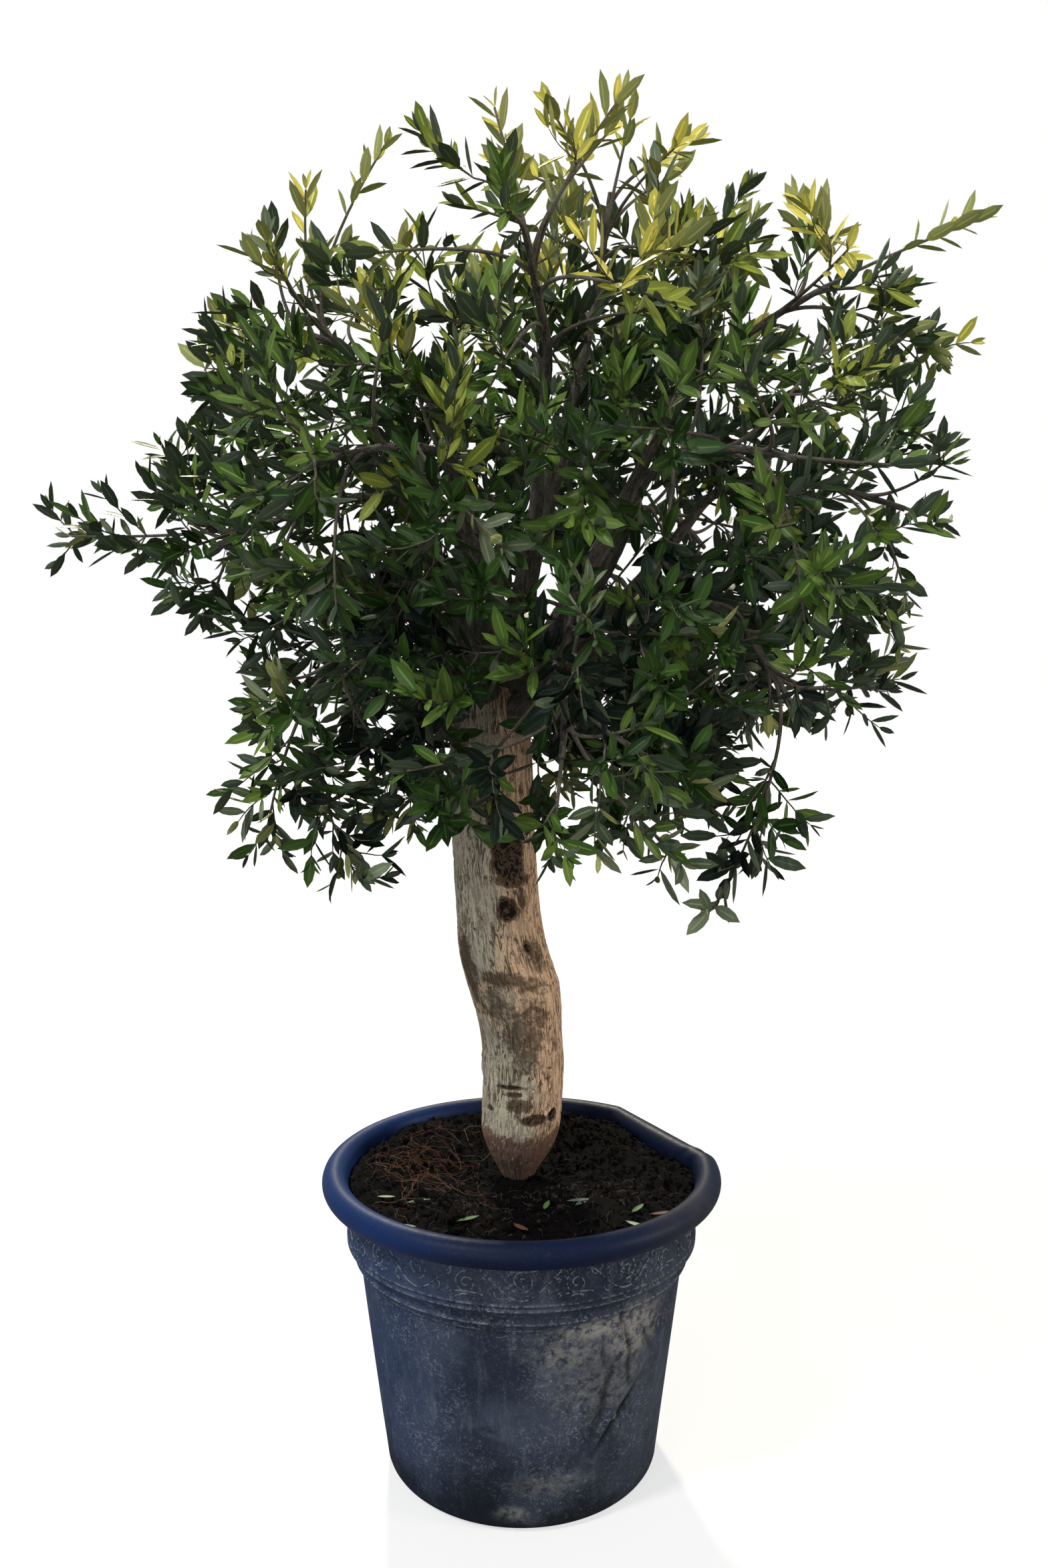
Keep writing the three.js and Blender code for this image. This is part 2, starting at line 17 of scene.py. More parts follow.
import bpy
import numpy as np
from mathutils import Matrix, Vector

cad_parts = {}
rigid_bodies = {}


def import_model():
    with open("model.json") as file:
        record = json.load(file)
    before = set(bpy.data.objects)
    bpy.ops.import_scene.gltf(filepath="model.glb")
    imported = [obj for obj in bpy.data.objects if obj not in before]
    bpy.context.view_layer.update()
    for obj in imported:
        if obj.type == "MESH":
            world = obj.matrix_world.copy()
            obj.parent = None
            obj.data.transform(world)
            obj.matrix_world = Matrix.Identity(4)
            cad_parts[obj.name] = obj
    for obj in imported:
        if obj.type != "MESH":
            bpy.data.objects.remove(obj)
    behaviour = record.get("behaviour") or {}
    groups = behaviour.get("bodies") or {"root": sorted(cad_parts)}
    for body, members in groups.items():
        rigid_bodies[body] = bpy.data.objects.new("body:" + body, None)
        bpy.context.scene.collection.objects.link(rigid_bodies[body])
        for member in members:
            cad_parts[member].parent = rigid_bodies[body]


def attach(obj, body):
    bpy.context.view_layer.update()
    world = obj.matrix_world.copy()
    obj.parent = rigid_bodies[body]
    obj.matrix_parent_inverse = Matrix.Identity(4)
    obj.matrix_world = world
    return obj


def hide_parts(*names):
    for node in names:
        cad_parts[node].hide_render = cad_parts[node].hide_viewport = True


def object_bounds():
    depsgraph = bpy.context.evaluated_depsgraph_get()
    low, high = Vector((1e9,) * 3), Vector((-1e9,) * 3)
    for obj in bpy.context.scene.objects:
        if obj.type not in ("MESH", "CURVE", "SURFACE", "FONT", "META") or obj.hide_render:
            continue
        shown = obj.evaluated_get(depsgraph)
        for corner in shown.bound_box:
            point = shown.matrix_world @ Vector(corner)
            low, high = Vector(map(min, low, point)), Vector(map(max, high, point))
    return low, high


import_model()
CAD_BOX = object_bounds()

LOG = logging.getLogger("potted_olive")
BOX_LOW, BOX_HIGH = (np.array(corner) for corner in CAD_BOX)
UP = np.array((0.0, 0.0, 1.0))
FULL_TURN = 2 * math.pi
GOLDEN_ANGLE = math.pi * (3 - math.sqrt(5))
Array = np.ndarray
Colour = tuple[float, float, float]
Piece = bpy.types.Object
Material = bpy.types.Material
Node = bpy.types.Node
Socket = bpy.types.NodeSocket
Sockets = bpy.types.bpy_prop_collection


# ---- arrays ----


def unit(vectors: Array) -> Array:
    """The vectors, each at length 1."""
    return vectors / np.maximum(np.linalg.norm(vectors, axis=-1, keepdims=True), 1e-12)


def smoothstep(values: Array, low: float, high: float) -> Array:
    """A smooth rise from 0 at low to 1 at high."""
    share = np.clip((values - low) / (high - low), 0, 1)
    return share * share * (3 - 2 * share)


def bell(values: Array) -> Array:
    """A bell curve that is 1 at 0."""
    return np.exp(-(values**2))


def circle(count: int) -> Array:
    """Evenly stepped angles, once round."""
    return np.linspace(0, FULL_TURN, count, endpoint=False)


def polar(radius: Array, turn: Array, height: Array) -> Array:
    """Places by their distance from the Z axis, angle round it and height."""
    return np.stack(np.broadcast_arrays(radius * np.cos(turn), radius * np.sin(turn), height), axis=-1)


def turned_about(points: Array) -> Array:
    """The angle of each point about the Z axis."""
    return np.arctan2(points[:, 1], points[:, 0])


def direction_at(turn: float, rise: float) -> Array:
    """The direction at a compass angle (0 is +X, 90 is +Y) and a rise, in degrees."""
    flat, up = math.radians(turn), math.radians(rise)
    return np.array((math.cos(flat) * math.cos(up), math.sin(flat) * math.cos(up), math.sin(up)))


def square_to(direction: Array, aside: Array | None = None) -> tuple[Array, Array]:
    """Two unit vectors square to a direction, or to one per row, and to each other.

    Args:
        direction: the unit vector or vectors.
        aside: an axis that the first of the two is also square to.

    Returns:
        The two vectors, or two arrays of them.
    """
    if aside is None:
        aside = np.eye(3)[int(np.argmin(np.abs(direction)))]
    first = unit(np.cross(aside, direction))
    return first, unit(np.cross(direction, first))


def round_to(pair: tuple[Array, Array], turn: float) -> Array:
    """The direction that lies at an angle from the first of two towards the second."""
    return pair[0] * math.cos(turn) + pair[1] * math.sin(turn)


def bezier(start: Array, bend: Array, end: Array, count: int) -> Array:
    """Points along a quadratic curve."""
    share = np.linspace(0, 1, count)[:, None]
    return (1 - share) ** 2 * start + 2 * share * (1 - share) * bend + share**2 * end


def lengths_along(line: Array) -> Array:
    """How far along a line each of its points is."""
    return np.concatenate(([0.0], np.cumsum(np.linalg.norm(np.diff(line, axis=0), axis=1))))


def points_at(line: Array, places: Array, lengths: Array) -> Array:
    """The points at given places along a line, from how far along it its own points are."""
    return np.stack([np.interp(places, lengths, line[:, axis]) for axis in range(3)], axis=-1)


def point_along(line: Array, share: float) -> Array:
    """The point at a share of a line's length."""
    lengths = lengths_along(line)
    return points_at(line, share * lengths[-1], lengths)


def heading_at(line: Array, share: float, step: float) -> Array:
    """The line's direction at a share of its length, from the points a step before and after it."""
    return unit(point_along(line, min(share + step, 1)) - point_along(line, max(share - step, 0)))


def tangents(line: Array) -> Array:
    """The line's direction at each of its points."""
    return unit(np.gradient(line, axis=0))


def between_rows(table: Array, places: Array) -> Array:
    """The values of a table between its rows, along a Catmull-Rom curve."""
    below = np.clip(places.astype(int), 0, len(table) - 2)
    share = (places - below)[:, None]
    before, low, high, after = (table[np.clip(below + step, 0, len(table) - 1)] for step in (-1, 0, 1, 2))
    bend = 2 * before - 5 * low + 4 * high - after
    twist = 3 * (low - high) + after - before
    return low + 0.5 * share * (high - before + share * (bend + share * twist))


# ---- meshes ----


def link(name: str, data: bpy.types.ID) -> Piece:
    """A new object, linked to the scene."""
    made = bpy.data.objects.new(name, data)
    bpy.context.scene.collection.objects.link(made)
    return made


def link_mesh(
    name: str, vertices: Array, faces: Sequence = (), edges: Sequence = (), finish: Material | None = None
) -> Piece:
    """A new smooth mesh object.

    Args:
        name: the object's name.
        vertices: one place per row.
        faces: vertex indices by face.
        edges: pairs of vertex indices, for a mesh of lines.
        finish: its material, if it has one yet.

    Returns:
        The object, linked to the scene.
    """
    mesh = bpy.data.meshes.new(name)
    mesh.from_pydata(vertices, edges, faces)
    mesh.polygons.foreach_set("use_smooth", np.ones(len(mesh.polygons), dtype=bool))
    if finish:
        mesh.materials.append(finish)
    return link(name, mesh)


def line_mesh(name: str, lines: list[Array]) -> Piece:
    """A mesh of open lines, without faces."""
    starts = np.cumsum([0] + [len(line) for line in lines]).tolist()
    runs = [range(start, start + len(line) - 1) for start, line in zip(starts, lines)]
    edges = [(place, place + 1) for run in runs for place in run]
    return link_mesh(name, np.vstack(lines), edges=edges)


def store(piece: Piece, **layers: Array) -> None:
    """Stores numbers, vectors or quaternions by name, one per vertex."""
    for name, values in layers.items():
        values = np.asarray(values, dtype=np.float32)
        kind = {1: "FLOAT", 3: "FLOAT_VECTOR", 4: "QUATERNION"}[1 if values.ndim == 1 else values.shape[1]]
        attribute = piece.data.attributes.new(name, kind, "POINT")
        attribute.data.foreach_set("vector" if kind == "FLOAT_VECTOR" else "value", values.ravel())


def settled(piece: Piece) -> bpy.types.Mesh:
    """The piece's mesh as its modifiers leave it."""
    bpy.context.view_layer.update()
    return bpy.data.meshes.new_from_object(piece.evaluated_get(bpy.context.evaluated_depsgraph_get()))


def quads(rings: int, sides: int, closed: bool = False) -> list[list[int]]:
    """The quads between rings, and back from the last ring to the first where they are closed."""
    ring, side = np.meshgrid(np.arange(rings if closed else rings - 1), np.arange(sides), indexing="ij")
    here, after, beside = ring * sides, (ring + 1) % rings * sides, (side + 1) % sides
    corners = (here + side, here + beside, after + beside, after + side)
    return np.stack(corners, axis=-1).reshape(-1, 4).tolist()


def tube_faces(rings: int, sides: int, first: int = 0) -> list[list[int]]:
    """The faces of a tube that starts at a vertex, with a fan from one more vertex over each end."""
    low, last = rings * sides, (rings - 1) * sides
    fans = [[low, (side + 1) % sides, side] for side in range(sides)]
    fans += [[low + 1, last + side, last + (side + 1) % sides] for side in range(sides)]
    return [[corner + first for corner in face] for face in quads(rings, sides) + fans]


# ---- node trees ----


class Nodes:
    """Adds nodes to a node tree and links them."""

    def __init__(self, tree: bpy.types.NodeTree) -> None:
        """Starts from an empty tree."""
        self.tree = tree
        tree.nodes.clear()

    def feed(self, socket: Socket, value: object) -> None:
        """Links a node or an output to an input, or sets its value."""
        if isinstance(value, Node):
            value = next(output for output in value.outputs if output.enabled)
        if isinstance(value, Socket):
            self.tree.links.new(value, socket)
        else:
            socket.default_value = value

    def add(self, kind: str, *values: object, named: dict | None = None, **settings: object) -> Node:
        """Adds a node.

        Args:
            kind: the node's type.
            values: what its inputs that are in use get, in their order, with None for one that is left alone.
            named: what further inputs get, by name.
            settings: the node's own settings.

        Returns:
            The node.
        """
        node = self.tree.nodes.new(kind)
        for name, setting in settings.items():
            setattr(node, name, setting)
        for socket, value in zip([s for s in node.inputs if s.enabled], values):
            if value is not None:
                self.feed(socket, value)
        for name, value in (named or {}).items():
            self.feed(next(s for s in node.inputs if s.enabled and s.name == name), value)
        return node

    def math(self, operation: str, *values: object) -> Node:
        """A Math node."""
        return self.add("ShaderNodeMath", *values, operation=operation)

    def plus(self, first: object, second: object) -> Node:
        """The sum of two numbers."""
        return self.math("ADD", first, second)

    def minus(self, first: object, second: object) -> Node:
        """The first number less the second."""
        return self.math("SUBTRACT", first, second)

    def times(self, product: object, *factors: object) -> Node:
        """The product of numbers."""
        for factor in factors:
            product = self.math("MULTIPLY", product, factor)
        return product

    def vector(self, operation: str, *values: object) -> Node:
        """A Vector Math node."""
        return self.add("ShaderNodeVectorMath", *values, operation=operation)

    def split(self, vector: object) -> Sockets:
        """The three parts of a vector."""
        return self.add("ShaderNodeSeparateXYZ", vector).outputs

    def joined(self, *parts: object) -> Node:
        """A vector of three parts."""
        return self.add("ShaderNodeCombineXYZ", *parts)

    def noise(
        self, place: object, scale: object, detail: float = 3, rough: float = 0.55, warp: float = 0
    ) -> Socket:
        """The value of a noise pattern at a place."""
        return self.add("ShaderNodeTexNoise", place, scale, detail, rough, None, warp).outputs[0]

    def rise(self, value: object, low: float, high: object, first: float = 0, last: float = 1) -> Node:
        """A smooth rise from first, where the value is low, to last, where it is high."""
        return self.add("ShaderNodeMapRange", value, low, high, first, last, interpolation_type="SMOOTHSTEP")

    def winding_lines(self, place: object, scale: object, width: object) -> Node:
        """Thin winding lines: 1 along the middle level of a noise pattern, 0 at a width away from it."""
        away = self.math("ABSOLUTE", self.minus(self.noise(place, scale, 3, 0.6, 0.8), 0.5))
        return self.rise(away, self.times(width, 0.15), width, 1, 0)

    def inputs(self, **sockets: object) -> Sockets:
        """Makes the tree's inputs.

        Args:
            sockets: by name, with _ for a space, the starting value of a number, or else the socket's type.

        Returns:
            What they give inside the tree, by name.
        """
        for name, value in sockets.items():
            kind = value if isinstance(value, str) else {float: "Float", int: "Int"}[type(value)]
            spaced = name.replace("_", " ")
            socket = self.tree.interface.new_socket(spaced, in_out="INPUT", socket_type=f"NodeSocket{kind}")
            if kind != value:
                socket.default_value = value
        return self.tree.nodes.new("NodeGroupInput").outputs

    def outputs(self, kind: str, **sources: object) -> None:
        """Makes the tree's outputs, all of one type, each fed by its source."""
        for name in sources:
            self.tree.interface.new_socket(name, in_out="OUTPUT", socket_type=f"NodeSocket{kind}")
        node = self.tree.nodes.new("NodeGroupOutput")
        for name, source in sources.items():
            self.feed(node.inputs[name], source)


class Shaping(Nodes):
    """A Geometry Nodes tree that starts from a mesh."""

    def __init__(self, name: str, **sizes: object) -> None:
        """Starts a tree with its mesh and its named inputs, which it keeps as given."""
        super().__init__(bpy.data.node_groups.new(name, "GeometryNodeTree"))
        self.given = self.inputs(Geometry="Geometry", **sizes)

    def stored(self, name: str, kind: str = "FLOAT") -> Node:
        """What is stored on the mesh under a name."""
        return self.add("GeometryNodeInputNamedAttribute", name, data_type=kind)

    def keep(self, mesh: object, name: str, value: object, **settings: str) -> Node:
        """The mesh with a value stored on it."""
        return self.add("GeometryNodeStoreNamedAttribute", mesh, True, name, value, **settings)

    def here(self) -> Node:
        """The place of each point."""
        return self.add("GeometryNodeInputPosition")

    def move(self, mesh: object, **to: object) -> Node:
        """The mesh, moved to a Position or by an Offset."""
        return self.add("GeometryNodeSetPosition", mesh, named=to)

    def smooth(self, mesh: object, where: object = None, is_smooth: bool = True, **settings: str) -> Node:
        """The mesh with smooth shading, or with sharp edges."""
        return self.add("GeometryNodeSetShadeSmooth", mesh, where, is_smooth, **settings)

    def repeat(self, points: object, **instance: object) -> Node:
        """An instance on every point, by its Instance, Rotation and Scale."""
        return self.add("GeometryNodeInstanceOnPoints", points, named=instance)

    def whole(self, mesh: object) -> Node:
        """The instances, made real."""
        return self.add("GeometryNodeRealizeInstances", mesh)

    def tubes(self, lines: object, sides: object, radius: object) -> Node:
        """Round tubes along lines."""
        profile = self.add("GeometryNodeCurvePrimitiveCircle", sides, 1.0)
        curves = self.add("GeometryNodeMeshToCurve", lines)
        named = {"Profile Curve": profile, "Scale": radius, "Fill Caps": True}
        return self.add("GeometryNodeCurveToMesh", curves, named=named)

    def finish(self, mesh: object, *materials: tuple[object, str]) -> "Shaping":
        """Ends the tree: makes it real, sets its materials and gives it out.

        Args:
            mesh: what the tree has made.
            materials: for each, where it goes, or None for everywhere, and the input that holds it.

        Returns:
            The tree.
        """
        dressed = self.whole(mesh)
        for where, name in materials:
            dressed = self.add("GeometryNodeSetMaterial", dressed, where, self.given[name])
        self.outputs("Geometry", Geometry=dressed)
        return self

    def grow(self, base: Piece, name: str, **sizes: object) -> Piece:
        """Runs the tree on a mesh and keeps the result as a plain mesh.

        Args:
            base: the mesh that the tree starts from, which is used up.
            name: the new piece's name.
            sizes: the tree's inputs, by name, with _ for a space.

        Returns:
            The new piece, with no modifier.
        """
        modifier = base.modifiers.new("grow", "NODES")
        modifier.node_group = self.tree
        for item in self.tree.interface.items_tree:
            key = item.name.replace(" ", "_")
            if item.in_out == "INPUT" and key in sizes:
                modifier[item.identifier] = sizes[key]
        piece = link(name, settled(base))
        bpy.data.objects.remove(base)
        return piece


def hand_over(piece: Piece, slot: str, *nodes: str) -> None:
    """Attaches a finished piece to the root body, hides the nodes that it stands for, and reports it.

    Args:
        piece: the finished piece.
        slot: not used.
        nodes: the nodes that it replaces.
    """
    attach(piece, "root")
    if nodes:
        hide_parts(*nodes)
    piece.data.calc_loop_triangles()
    LOG.info("%s: %d triangles", piece.name, len(piece.data.loop_triangles))


# ---- finishes ----


def opaque(colour: object) -> object:
    """A colour with its alpha, or a colour output as it is."""
    return (*colour, 1.0) if isinstance(colour, tuple) else colour


def shaded(colour: Colour, gain: float, lift: float = 0) -> Colour:
    """A colour made lighter or darker."""
    return tuple(gain * value + lift for value in colour)


class Surface(Nodes):
    """The nodes of a material with a Principled shader."""

    def __init__(self, name: str) -> None:
        """Starts a material with its shader."""
        self.material = bpy.data.materials.new(name)
        self.material.use_nodes = True
        super().__init__(self.material.node_tree)
        self.shader = self.add("ShaderNodeBsdfPrincipled")
        self.add("ShaderNodeOutputMaterial", self.shader)

    def stored(self, name: str, output: str = "Fac") -> Socket:
        """What is stored on the mesh under a name."""
        return self.add("ShaderNodeAttribute", attribute_name=name).outputs[output]

    def place(self) -> Socket:
        """The place of each point in the object."""
        return self.add("ShaderNodeTexCoord").outputs["Object"]

    def blend(self, share: object, below: object, above: object) -> Socket:
        """A colour between two others."""
        return self.add("ShaderNodeMix", share, opaque(below), opaque(above), data_type="RGBA").outputs[2]

    def coated(self, base: object, *coats: tuple[object, object]) -> Socket:
        """A base colour under coats, each with its share and its colour."""
        for share, colour in coats:
            base = self.blend(share, base, colour)
        return base

    def bump(self, height: object, strength: float, distance: float) -> Node:
        """The normal of a bumpy surface."""
        return self.add("ShaderNodeBump", strength, distance, named={"Height": height})

    def from_group(self, name: str, fill: Callable[[Nodes], None], *values: object) -> Sockets:
        """What a shared shader group gives, placed here with its own values.

        Args:
            name: the group's name.
            fill: what fills it, the first time that it is asked for.
            values: its inputs, in order.

        Returns:
            Its outputs.
        """
        if name not in bpy.data.node_groups:
            fill(Nodes(bpy.data.node_groups.new(name, "ShaderNodeTree")))
        return self.add("ShaderNodeGroup", *values, node_tree=bpy.data.node_groups[name]).outputs

    def mottle(self, place: object, patch_scale: float, grain_scale: float) -> Sockets:
        """The patches and the grain of a mottled surface, from 0 to 1."""
        return self.from_group("Mottle", fill_mottle, place, patch_scale, grain_scale)

    def lines_on(self, place: object, scale: float, width: float) -> Socket:
        """Thin winding lines, 1 on a line."""
        return self.from_group("Winding Lines", fill_lines, place, scale, width)[0]

    def finish(self, **inputs: object) -> Material:
        """Feeds the shader's inputs by name, with _ for a space, and gives the material."""
        for name, value in inputs.items():
            self.feed(self.shader.inputs[name.replace("_", " ")], value)
        return self.material


def fill_mottle(nodes: Nodes) -> None:
    """Fills the group that breaks a surface up into soft patches and fine grain."""
    given = nodes.inputs(Place="Vector", Patch_Scale=10.0, Grain_Scale=200.0)
    patches = nodes.noise(given["Place"], given["Patch Scale"], 5, 0.6, 0.3)
    grain = nodes.noise(given["Place"], given["Grain Scale"], 4, 0.65)
    nodes.outputs("Float", Patches=nodes.rise(patches, 0.35, 0.65), Grain=nodes.rise(grain, 0.3, 0.7))


def fill_lines(nodes: Nodes) -> None:
    """Fills the group that draws thin winding lines."""
    given = nodes.inputs(Place="Vector", Scale=100.0, Width=0.05)
    nodes.outputs("Float", Lines=nodes.winding_lines(given["Place"], given["Scale"], given["Width"]))


@dataclass(frozen=True)
class LeafFinish:
    """A leathery leaf face: two near greens, a soft gloss and a pale midrib."""

    name: str
    colour: Colour
    paler: Colour
    roughness: float = 0.42

    def make(self) -> Material:
        """The material."""
        look = Surface(self.name)
        tone = look.stored("tone")
        midrib = look.rise(look.stored("rib"), 0.78, 1.0, 0, 0.6)
        base = look.coated(self.colour, (tone, self.paler), (midrib, shaded(self.paler, 1.7, 0.02)))
        rough = look.rise(tone, 0, 1, self.roughness - 0.06, self.roughness + 0.08)
        return look.finish(Base_Color=base, Roughness=rough, Specular_IOR_Level=0.2)


@dataclass(frozen=True)
class BarkFinish:
    """Fissured bark, from the stored stains, tan (on the trunk with painted light on its lit side) and soil
    line of a limb.
    """

    name: str
    pale: Colour
    tan: Colour
    crack: Colour
    stain: Colour = (0.080, 0.050, 0.028)
    # Near-black in wound and knot middles: partly blackened wood, partly painted shade of their holes.
    dark_wood_and_hole_shade: Colour = (0.013, 0.008, 0.006)
    damp: Colour = (0.200, 0.108, 0.074)
    lines_per_metre: float = 130
    stretch: float = 6.5

    def make(self) -> Material:
        """The material."""
        look = Surface(self.name)
        place = look.stored("bark_place", "Vector")
        drawn_out = look.vector("MULTIPLY", place, (1, 1, 1 / self.stretch))
        patches, grain = look.mottle(place, 24, 420)
        ragged = look.minus(look.noise(place, 110, 5, 0.7, 0.5), 0.5)
        # The stored tan holds painted light: the trunk's lit side, facing +X, is painted warmer tan.
        warm = look.plus(look.stored("warm"), look.times(look.minus(patches, 0.5), 0.5))
        cracks = look.lines_on(drawn_out, self.lines_per_metre, 0.055)
        hair = look.lines_on(drawn_out, 2.3 * self.lines_per_metre, 0.05)
        cracked = look.math("MAXIMUM", cracks, look.times(hair, 0.6))
        stain = look.plus(look.stored("stain"), look.times(ragged, 1.3))
        flaky = look.times(look.lines_on(place, 62, 0.075), look.rise(stain, 0.6, 0.9, 0, 0.85))
        soiled = look.plus(look.stored("soiled"), look.times(ragged, 1.8))
        grit = look.rise(ragged, 0.08, 0.20, 0, 0.6)
        wet = look.coated(shaded(self.damp, 0.45), (grain, self.damp), (grit, self.tan))
        base = look.coated(
            self.pale,
            (look.rise(warm, 0.1, 0.9), self.tan),
            (look.times(grain, 0.30), self.stain),
            (look.times(cracked, look.rise(patches, 0.1, 0.7, 0.45, 0.95)), self.crack),
            (look.rise(stain, 0.18, 0.62, 0, 0.85), self.stain),
            # Near-black middles: blackened wood and painted shade of the holes.
            (look.rise(stain, 0.74, 0.92), self.dark_wood_and_hole_shade),
            (flaky, shaded(self.stain, 1.7)),
            (look.rise(soiled, 0.35, 0.65, 0, 0.92), wet),
        )
        return look.finish(
            Base_Color=base,
            Roughness=look.rise(grain, 0, 1, 0.75, 0.95),
            Specular_IOR_Level=0.2,
            Normal=look.bump(look.minus(look.times(grain, 0.4), cracks), 0.8, 0.0014),
        )


@dataclass(frozen=True)
class PlasticFinish:
    """Blue-black moulded plastic: satin on the rolled rim, and scuffed, dusty and streaked below it."""

    name: str
    body: Colour = (0.020, 0.027, 0.046)
    faded: Colour = (0.056, 0.069, 0.100)
    # Painted sky reflection: the wall's bluer left side.
    sky_reflection_blue: Colour = (0.022, 0.044, 0.112)
    rim: Colour = (0.007, 0.013, 0.038)
    # Painted sky reflection: the rim's bluer left side.
    sky_reflection_rim: Colour = (0.010, 0.034, 0.135)
    scuff: Colour = (0.30, 0.33, 0.37)
    dust: Colour = (0.39, 0.37, 0.33)
    # Painted warm reflection on the rim's front right.
    brown: Colour = (0.038, 0.038, 0.046)
    # Near-black: the wall darker towards the bottom, and painted shade in the creases.
    near_black: Colour = (0.008, 0.009, 0.011)
    rim_foot: float = 0.4215

    def make(self) -> Material:
        """The material."""
        look = Surface(self.name)
        place = look.place()
        apart = look.split(place)
        patches, grain = look.mottle(place, 9, 150)
        is_rim = look.rise(apart["Z"], self.rim_foot - 0.0008, self.rim_foot + 0.0008)
        # Painted sky reflection: the pot's left side is painted bluer.
        painted_sky_left = look.rise(apart["X"], -0.22, -0.05, 0.7, 0)
        streaks = look.rise(look.noise(look.vector("MULTIPLY", place, (1, 1, 0.16)), 55, 5, 0.7), 0.52, 0.72)
        wide = look.rise(look.noise(place, 12, 4), 0.40, 0.62, 0.25, 1.0)
        speckle = look.rise(look.noise(place, 240, 5, 0.8, 0.6), 0.53, 0.68)
        scribble = look.times(look.lines_on(place, 100, 0.030), look.rise(grain, 0.45, 0.75), wide)
        dusty = look.rise(look.noise(place, 75, 4, 0.75), 0.34, 0.60)
        # A ragged height, for making the wall darker towards the bottom.
        ragged_height = look.plus(apart["Z"], look.times(patches, 0.05))
        wall = look.coated(
            self.body,
            (patches, self.faded),
            (painted_sky_left, self.sky_reflection_blue),
            (look.times(streaks, 0.14), self.scuff),
            (look.times(speckle, wide, 0.54), self.scuff),
            (look.times(scribble, 0.65), self.scuff),
            # Bead tops and scroll lines paler: partly wear, partly a painted highlight.
            (look.times(look.stored("worn"), look.rise(grain, 0.3, 0.7)), self.scuff),
            (look.times(look.stored("dust"), dusty), self.dust),
            # The wall darker towards the bottom.
            (look.rise(ragged_height, 0.035, 0.075, 0.5, 0), self.near_black),
            (look.rise(ragged_height, 0.040, 0.170, 0.5, 0), self.near_black),
            # Painted shade along the creases.
            (look.times(look.stored("scored"), 0.9), self.near_black),
        )
        satin = look.coated(
            self.rim,
            (painted_sky_left, self.sky_reflection_rim),
            (look.times(speckle, wide, 0.05), self.scuff),
            # Painted warm reflection on the rim's front right.
            (look.times(look.stored("rubbed"), look.rise(patches, 0, 1, 0.5, 1)), self.brown),
        )
        dull, smooth = look.rise(grain, 0, 1, 0.60, 0.80), look.rise(grain, 0, 1, 0.42, 0.50)
        rough_part = look.times(speckle, look.minus(1.0, is_rim))
        return look.finish(
            Base_Color=look.blend(is_rim, wall, satin),
            Roughness=look.add("ShaderNodeMix", is_rim, dull, smooth, data_type="FLOAT").outputs[0],
            Specular_IOR_Level=0.10,
            Normal=look.bump(look.plus(rough_part, look.times(grain, 0.3)), 0.40, 0.0008),
        )


@dataclass(frozen=True)
class EarthFinish:
    """Dark crumbly compost, or any dull grainy litter."""

    name: str
    dark: Colour
    light: Colour
    grain_scale: float = 260
    roughness: float = 0.95

    def make(self) -> Material:
        """The material."""
        look = Surface(self.name)
        patches, grain = look.mottle(look.place(), 45, self.grain_scale)
        return look.finish(
            Base_Color=look.blend(look.times(look.plus(patches, grain), 0.5), self.dark, self.light),
            Roughness=look.rise(grain, 0, 1, self.roughness - 0.15, self.roughness),
            Specular_IOR_Level=0.06,
            Normal=look.bump(grain, 0.8, 0.002),
        )


class Tint(Enum):
    """The greens that the crown's sprays are dealt, from painted shade inside the crown to painted sunlight
    and backlight at its top: the upper face and its paler patches.
    """

    SHADE = ((0.003, 0.007, 0.005), (0.012, 0.026, 0.012))
    DEEP = ((0.010, 0.030, 0.006), (0.050, 0.108, 0.018))
    MID = ((0.044, 0.098, 0.015), (0.150, 0.235, 0.040))
    # The next two greens are painted light: sunlit outer sprays, then glowing backlit sprays at the top.
    SUNLIT_GREEN = ((0.125, 0.175, 0.022), (0.340, 0.375, 0.055))
    BACKLIT_GOLD = ((0.380, 0.370, 0.036), (0.840, 0.740, 0.160))
    SILVER = ((0.085, 0.120, 0.065), (0.240, 0.285, 0.165))


# ---- trunk and boughs ----


class Mark(Enum):
    """What a scar on the trunk is.

    Its ridges and dips, each as a rise in metres with its distance from the scar's middle and its width,
    then its stain: how dark, and the distances where it starts and is full. Distances and widths are shares
    of the scar.
    """

    WOUND = (((-0.0045, 0, 0.8), (0.0025, 1.15, 0.3)), (1.0, 1.3, 0.8))
    KNOT = (((0.0032, 1, 0.35), (-0.006, 0, 0.55)), (1.0, 1.15, 0.6))
    SCAR = (((-0.0016, 0, 0.7),), (0.8, 1.3, 0.6))
    STAIN = ((), (0.62, 1.4, 0.3))
    SWELLING = (((0.006, 0, 1.0),), (0.0, 1.0, 0.0))


class Scar(NamedTuple):
    """A mark on the trunk: its kind, height, turn in degrees, half-height, half-width and strength."""

    mark: Mark
    height: float
    turn: float
    tall: float
    wide: float
    strength: float = 1.0


@dataclass(frozen=True)
class Mass:
    """A mass of foliage: where it lies from the crown's middle, and the limb that its bough leaves.

    turn and rise are its compass angle and rise in degrees, reach is how far it gets, core is the share of
    that which is left to bare boughs, parent names the limb, and at says how far up that limb.
    """

    name: str
    turn: float
    rise: float
    reach: float
    core: float
    parent: str
    at: float

    @cached_property
    def outward(self) -> Array:
        """The mass's outward direction."""
        return direction_at(self.turn, self.rise)

    @cached_property
    def half_depth(self) -> float:
        """Half its depth along that direction."""
        return self.reach * (1 - self.core) / 2


